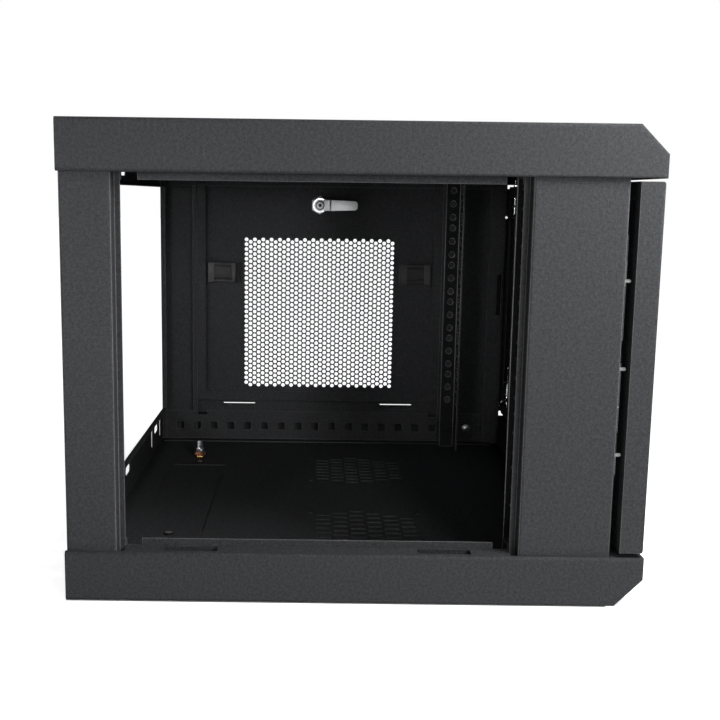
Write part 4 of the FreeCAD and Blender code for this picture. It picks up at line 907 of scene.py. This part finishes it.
def earth_point():
    """The earth stud: thread, brass nut, copper washers and a wing nut."""
    low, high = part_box("earth_stud")
    centre = (low + high) / 2
    lay = along("z", (centre.x, centre.y, 0))
    mesh = bmesh.new()
    turned(mesh, lay, threaded(2.95 * MM, low.z, high.z - 0.6 * MM, 1.0 * MM, 0.32 * MM)
           + [(2.2 * MM, high.z)], 24)
    mesh_object("earth_thread", mesh, "zinc", "cabinet", ["earth_stud"])
    nut_low, nut_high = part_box("earth_nut")
    mesh = hexagon_nut(lay, nut_low.z, nut_high.z, EARTH_BORE, 10 * MM, 0.5 * MM)
    mesh_object("earth_hexagon", mesh, "brass", "cabinet", ["earth_nut"])
    low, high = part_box("earth_washers")
    mesh = bmesh.new()
    for level in (low.z, low.z + 1.6 * MM):
        turned(mesh, lay, [(EARTH_BORE, level)] + chamfered(6.5 * MM, level, level + 1.45 * MM,
                                                          0.25 * MM)
               + [(EARTH_BORE, level + 1.45 * MM)], 40, bored=True)
    mesh_object("earth_discs", mesh, "copper", "cabinet", ["earth_washers"])
    low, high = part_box("earth_wing_nut")
    mesh = bmesh.new()
    turned(mesh, lay, [(EARTH_BORE, low.z), (4.6 * MM, low.z), (4.8 * MM, low.z + 0.4 * MM),
                       (4.2 * MM, low.z + 4.6 * MM), (3.9 * MM, low.z + 5.0 * MM),
                       (EARTH_BORE, low.z + 5.0 * MM)], 36, bored=True)
    width, height = (high.x - low.x) / 2, high.z - low.z
    for side in (-1, 1):
        wing = [(3.4 * MM * side, 0.6 * MM), (3.4 * MM * side, 4.4 * MM),
                ((width - 4.5 * MM) * side, height - 1.2 * MM)]
        wing += [(side * u, v) for u, v in arc((width - 3.0 * MM, height - 3.0 * MM), 3.0 * MM,
                                               110, -60, 12)]
        wing += [((width - 3.0 * MM) * side, 2.2 * MM)]
        plate(mesh, along("-y", (centre.x, centre.y + 1.0 * MM, low.z)), wing, 0.0, 2.0 * MM,
              0.4 * MM)
    mesh_object("earth_wings", mesh, "zinc", "cabinet", ["earth_wing_nut"])


def buffers():
    """Three small domed bumpers on the closing post."""
    low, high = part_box("door_buffers")
    mesh = bmesh.new()
    half = (high.x - low.x) / 2
    radius = 1.5 * MM
    centre = (low + high) / 2
    height = high.y - low.y - 0.6 * MM
    span = (high.z - low.z) / 2 - half
    for level in (centre.z - span, centre.z, centre.z + span):
        lay = along("-y", (centre.x, high.y, level))
        dome = [(radius * 1.3, 0.0), (radius * 1.3, 0.5 * MM), (radius, 0.6 * MM)]
        dome += [(radius * math.cos(math.radians(angle)),
                  height - radius + radius * math.sin(math.radians(angle)))
                 for angle in (0, 20, 40, 60, 80)]
        turned(mesh, lay, dome, 20)
    mesh_object("bumper_domes", mesh, "clear_rubber", "cabinet", ["door_buffers"])


def door_return():
    """The lock side's return goes on further behind the skin than the other three."""
    low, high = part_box("door_frame")
    wall = 13.2 * MM
    wide = 13.0 * MM
    back = high.y - 3.3 * MM
    mesh = bmesh.new()
    block(mesh, (low.x + wall - 0.2 * MM, back - GAUGE, low.z + wall),
          (low.x + wall + wide, back, high.z - wall), 0.3 * MM)
    mesh_object("door_lock_side_return", mesh, "powder_coat", "door")


# ---------------------------------------------------------------- sheet edges
FOLDED = [name for name, slot in SLOT_OF.items() if slot == "powder_coat" and name != "side_panel"]


def eased(piece, width):
    """Fine round edges, with the second finish of the piece on them: a lighter grey there, a painted
    highlight.
    """
    weld = piece.modifiers.new("weld", "WELD")
    weld.merge_threshold = 0.00001
    bevel = piece.modifiers.new("eased_edges", "BEVEL")
    bevel.width = width
    bevel.segments = 2
    bevel.limit_method = "ANGLE"
    bevel.angle_limit = math.radians(40)
    bevel.profile = 0.5
    bevel.harden_normals = True
    bevel.material = 1


for folded_sheet in FOLDED:
    eased(frame["nodes"][folded_sheet], (0.7 if folded_sheet in RAILS else 0.4) * MM)
panel_sheet()
panel_folds()
panel_lock()
door_lock()
slide_latches()
hinge_pins()
hinge_springs()
rail_screws()
cage_nuts()
earth_point()
buffers()
door_return()


# ---------------------------------------------------------------- floor, light and camera
def calculated(nodes, links, operation, first, second):
    """A math node's result from two sockets or numbers."""
    node = nodes.new("ShaderNodeMath")
    node.operation = operation
    for place, value in enumerate((first, second)):
        if isinstance(value, (int, float)):
            node.inputs[place].default_value = value
        else:
            links.new(value, node.inputs[place])
    return node.outputs[0]


def seen_directly(nodes, links):
    """1 for the view, for reflections and for what glass shows, else 0."""
    path = nodes.new("ShaderNodeLightPath")
    seen = path.outputs["Is Camera Ray"]
    for ray in ("Is Glossy Ray", "Is Transmission Ray"):
        seen = calculated(nodes, links, "MAXIMUM", seen, path.outputs[ray])
    return seen


FLOOR_HALF = 14.0
FLOOR_DROP = 0.4 * MM
NEAR_WHITE, FAR_WHITE = 0.84, 1.0
FADE = 0.9
HALF_NOSE = 14 * MM
WORLD_FILL = 0.05


def make_floor():
    """A wide pale floor: it keeps the cabinet's shadow and turns white further out."""
    mesh = bmesh.new()
    bmesh.ops.create_grid(mesh, x_segments=1, y_segments=1, size=FLOOR_HALF)
    bmesh.ops.translate(mesh, verts=mesh.verts, vec=(0, 0, -FLOOR_DROP))
    floor = mesh_object("studio_floor", mesh)
    material, shader = new_material("pale_floor")
    nodes, links = material.node_tree.nodes, material.node_tree.links
    place = nodes.new("ShaderNodeTexCoord")
    axes = nodes.new("ShaderNodeSeparateXYZ")
    links.new(place.outputs["Object"], axes.inputs[0])
    beyond = []
    for axis, centre, half in (("X", 0.0, CAD_BOX[1][0]),
                               ("Y", HALF_NOSE, CAD_BOX[1][1] - HALF_NOSE)):
        size = calculated(nodes, links, "SUBTRACT", axes.outputs[axis], centre)
        size = calculated(nodes, links, "ABSOLUTE", size, 0.0)
        beyond.append(calculated(nodes, links, "SUBTRACT", size, half))
    beyond = calculated(nodes, links, "MAXIMUM", *beyond)
    spread = calculated(nodes, links, "MULTIPLY", beyond, (FAR_WHITE - NEAR_WHITE) / FADE)
    glow = calculated(nodes, links, "ADD", spread, NEAR_WHITE)
    glow = calculated(nodes, links, "MINIMUM", glow, FAR_WHITE)
    outside = calculated(nodes, links, "GREATER_THAN", beyond, 0.0)
    glow = calculated(nodes, links, "MULTIPLY", glow, outside)
    glow = calculated(nodes, links, "MULTIPLY", glow, seen_directly(nodes, links))
    links.new(glow, shader.inputs["Emission Strength"])
    shader.inputs["Base Color"].default_value = (0.82, 0.82, 0.82, 1)
    shader.inputs["Roughness"].default_value = 0.9
    shader.inputs["Specular IOR Level"].default_value = 0.1
    shader.inputs["Emission Color"].default_value = (1, 1, 1, 1)
    floor.data.materials.append(material)


def make_world():
    """A faint studio fill, with a white background for the view, reflections and glass."""
    world = bpy.data.worlds.new("studio")
    bpy.context.scene.world = world
    world.use_nodes = True
    nodes, links = world.node_tree.nodes, world.node_tree.links
    nodes.clear()
    output = nodes.new("ShaderNodeOutputWorld")
    sky = nodes.new("ShaderNodeBackground")
    sky.inputs["Color"].default_value = (1, 1, 1, 1)
    strength = calculated(nodes, links, "MAXIMUM", seen_directly(nodes, links), WORLD_FILL)
    links.new(strength, sky.inputs["Strength"])
    links.new(sky.outputs[0], output.inputs["Surface"])


def soft_light(name, place, target, size, watts, spread=180.0):
    """A soft rectangular lamp aimed at a point; its spread is in degrees."""
    lamp = bpy.data.lights.new(name, "AREA")
    lamp.shape = "RECTANGLE"
    lamp.size, lamp.size_y = size
    lamp.energy = watts
    lamp.spread = math.radians(spread)
    holder = bpy.data.objects.new(name, lamp)
    bpy.context.scene.collection.objects.link(holder)
    holder.location = place
    holder.rotation_euler = (Vector(target) - Vector(place)).to_track_quat("-Z", "Y").to_euler()


def make_camera():
    """The view: level with the roof, from the open left side, tilted down."""
    camera = bpy.data.cameras.new("camera")
    camera.sensor_width = 36.0
    camera.lens = 58.13
    camera.shift_x = 0.0613
    camera.shift_y = 0.0568
    camera.clip_start = 0.01
    holder = bpy.data.objects.new("camera", camera)
    bpy.context.scene.collection.objects.link(holder)
    pitch, roll, yaw = 0.175, -0.013, 0.001
    forward = Vector((math.cos(pitch), -math.sin(yaw), -math.sin(pitch)))
    right = forward.cross(Vector((0, 0, 1))).normalized()
    up = right.cross(forward).normalized()
    turn = Matrix.Rotation(roll, 3, forward)
    right, up = turn @ right, turn @ up
    frame_axes = Matrix((right, up, -forward)).transposed()
    holder.matrix_world = Matrix.Translation((-1.1666, 0.0325, 0.3136)) @ frame_axes.to_4x4()
    bpy.context.scene.camera = holder


bpy.context.scene.view_settings.view_transform = "Standard"
make_floor()
make_world()
soft_light("key", (-0.48, -0.4, 0.56), (-0.3, -0.2, 0.34), (0.22, 0.18), 3.3)
soft_light("side", (-1.15, -0.95, 1.25), (-0.3, -0.1, 0.25), (0.9, 0.6), 0.8)
soft_light("fill", (-1.5, -0.4, 0.44), (-0.1, 0.0, 0.2), (0.25, 0.25), 5.8)
soft_light("rear", (-1.4, 0.62, 0.32), (0.29, 0.03, 0.2), (0.15, 0.15), 0.11, 24.0)
soft_light("front", (-1.6, 0.03, 0.44), (-0.3, 0.0, 0.2), (0.3, 0.3), 1.6)
soft_light("top", (0.1, -0.2, 2.0), (0, 0, 0.2), (1.6, 1.6), 12)
make_camera()
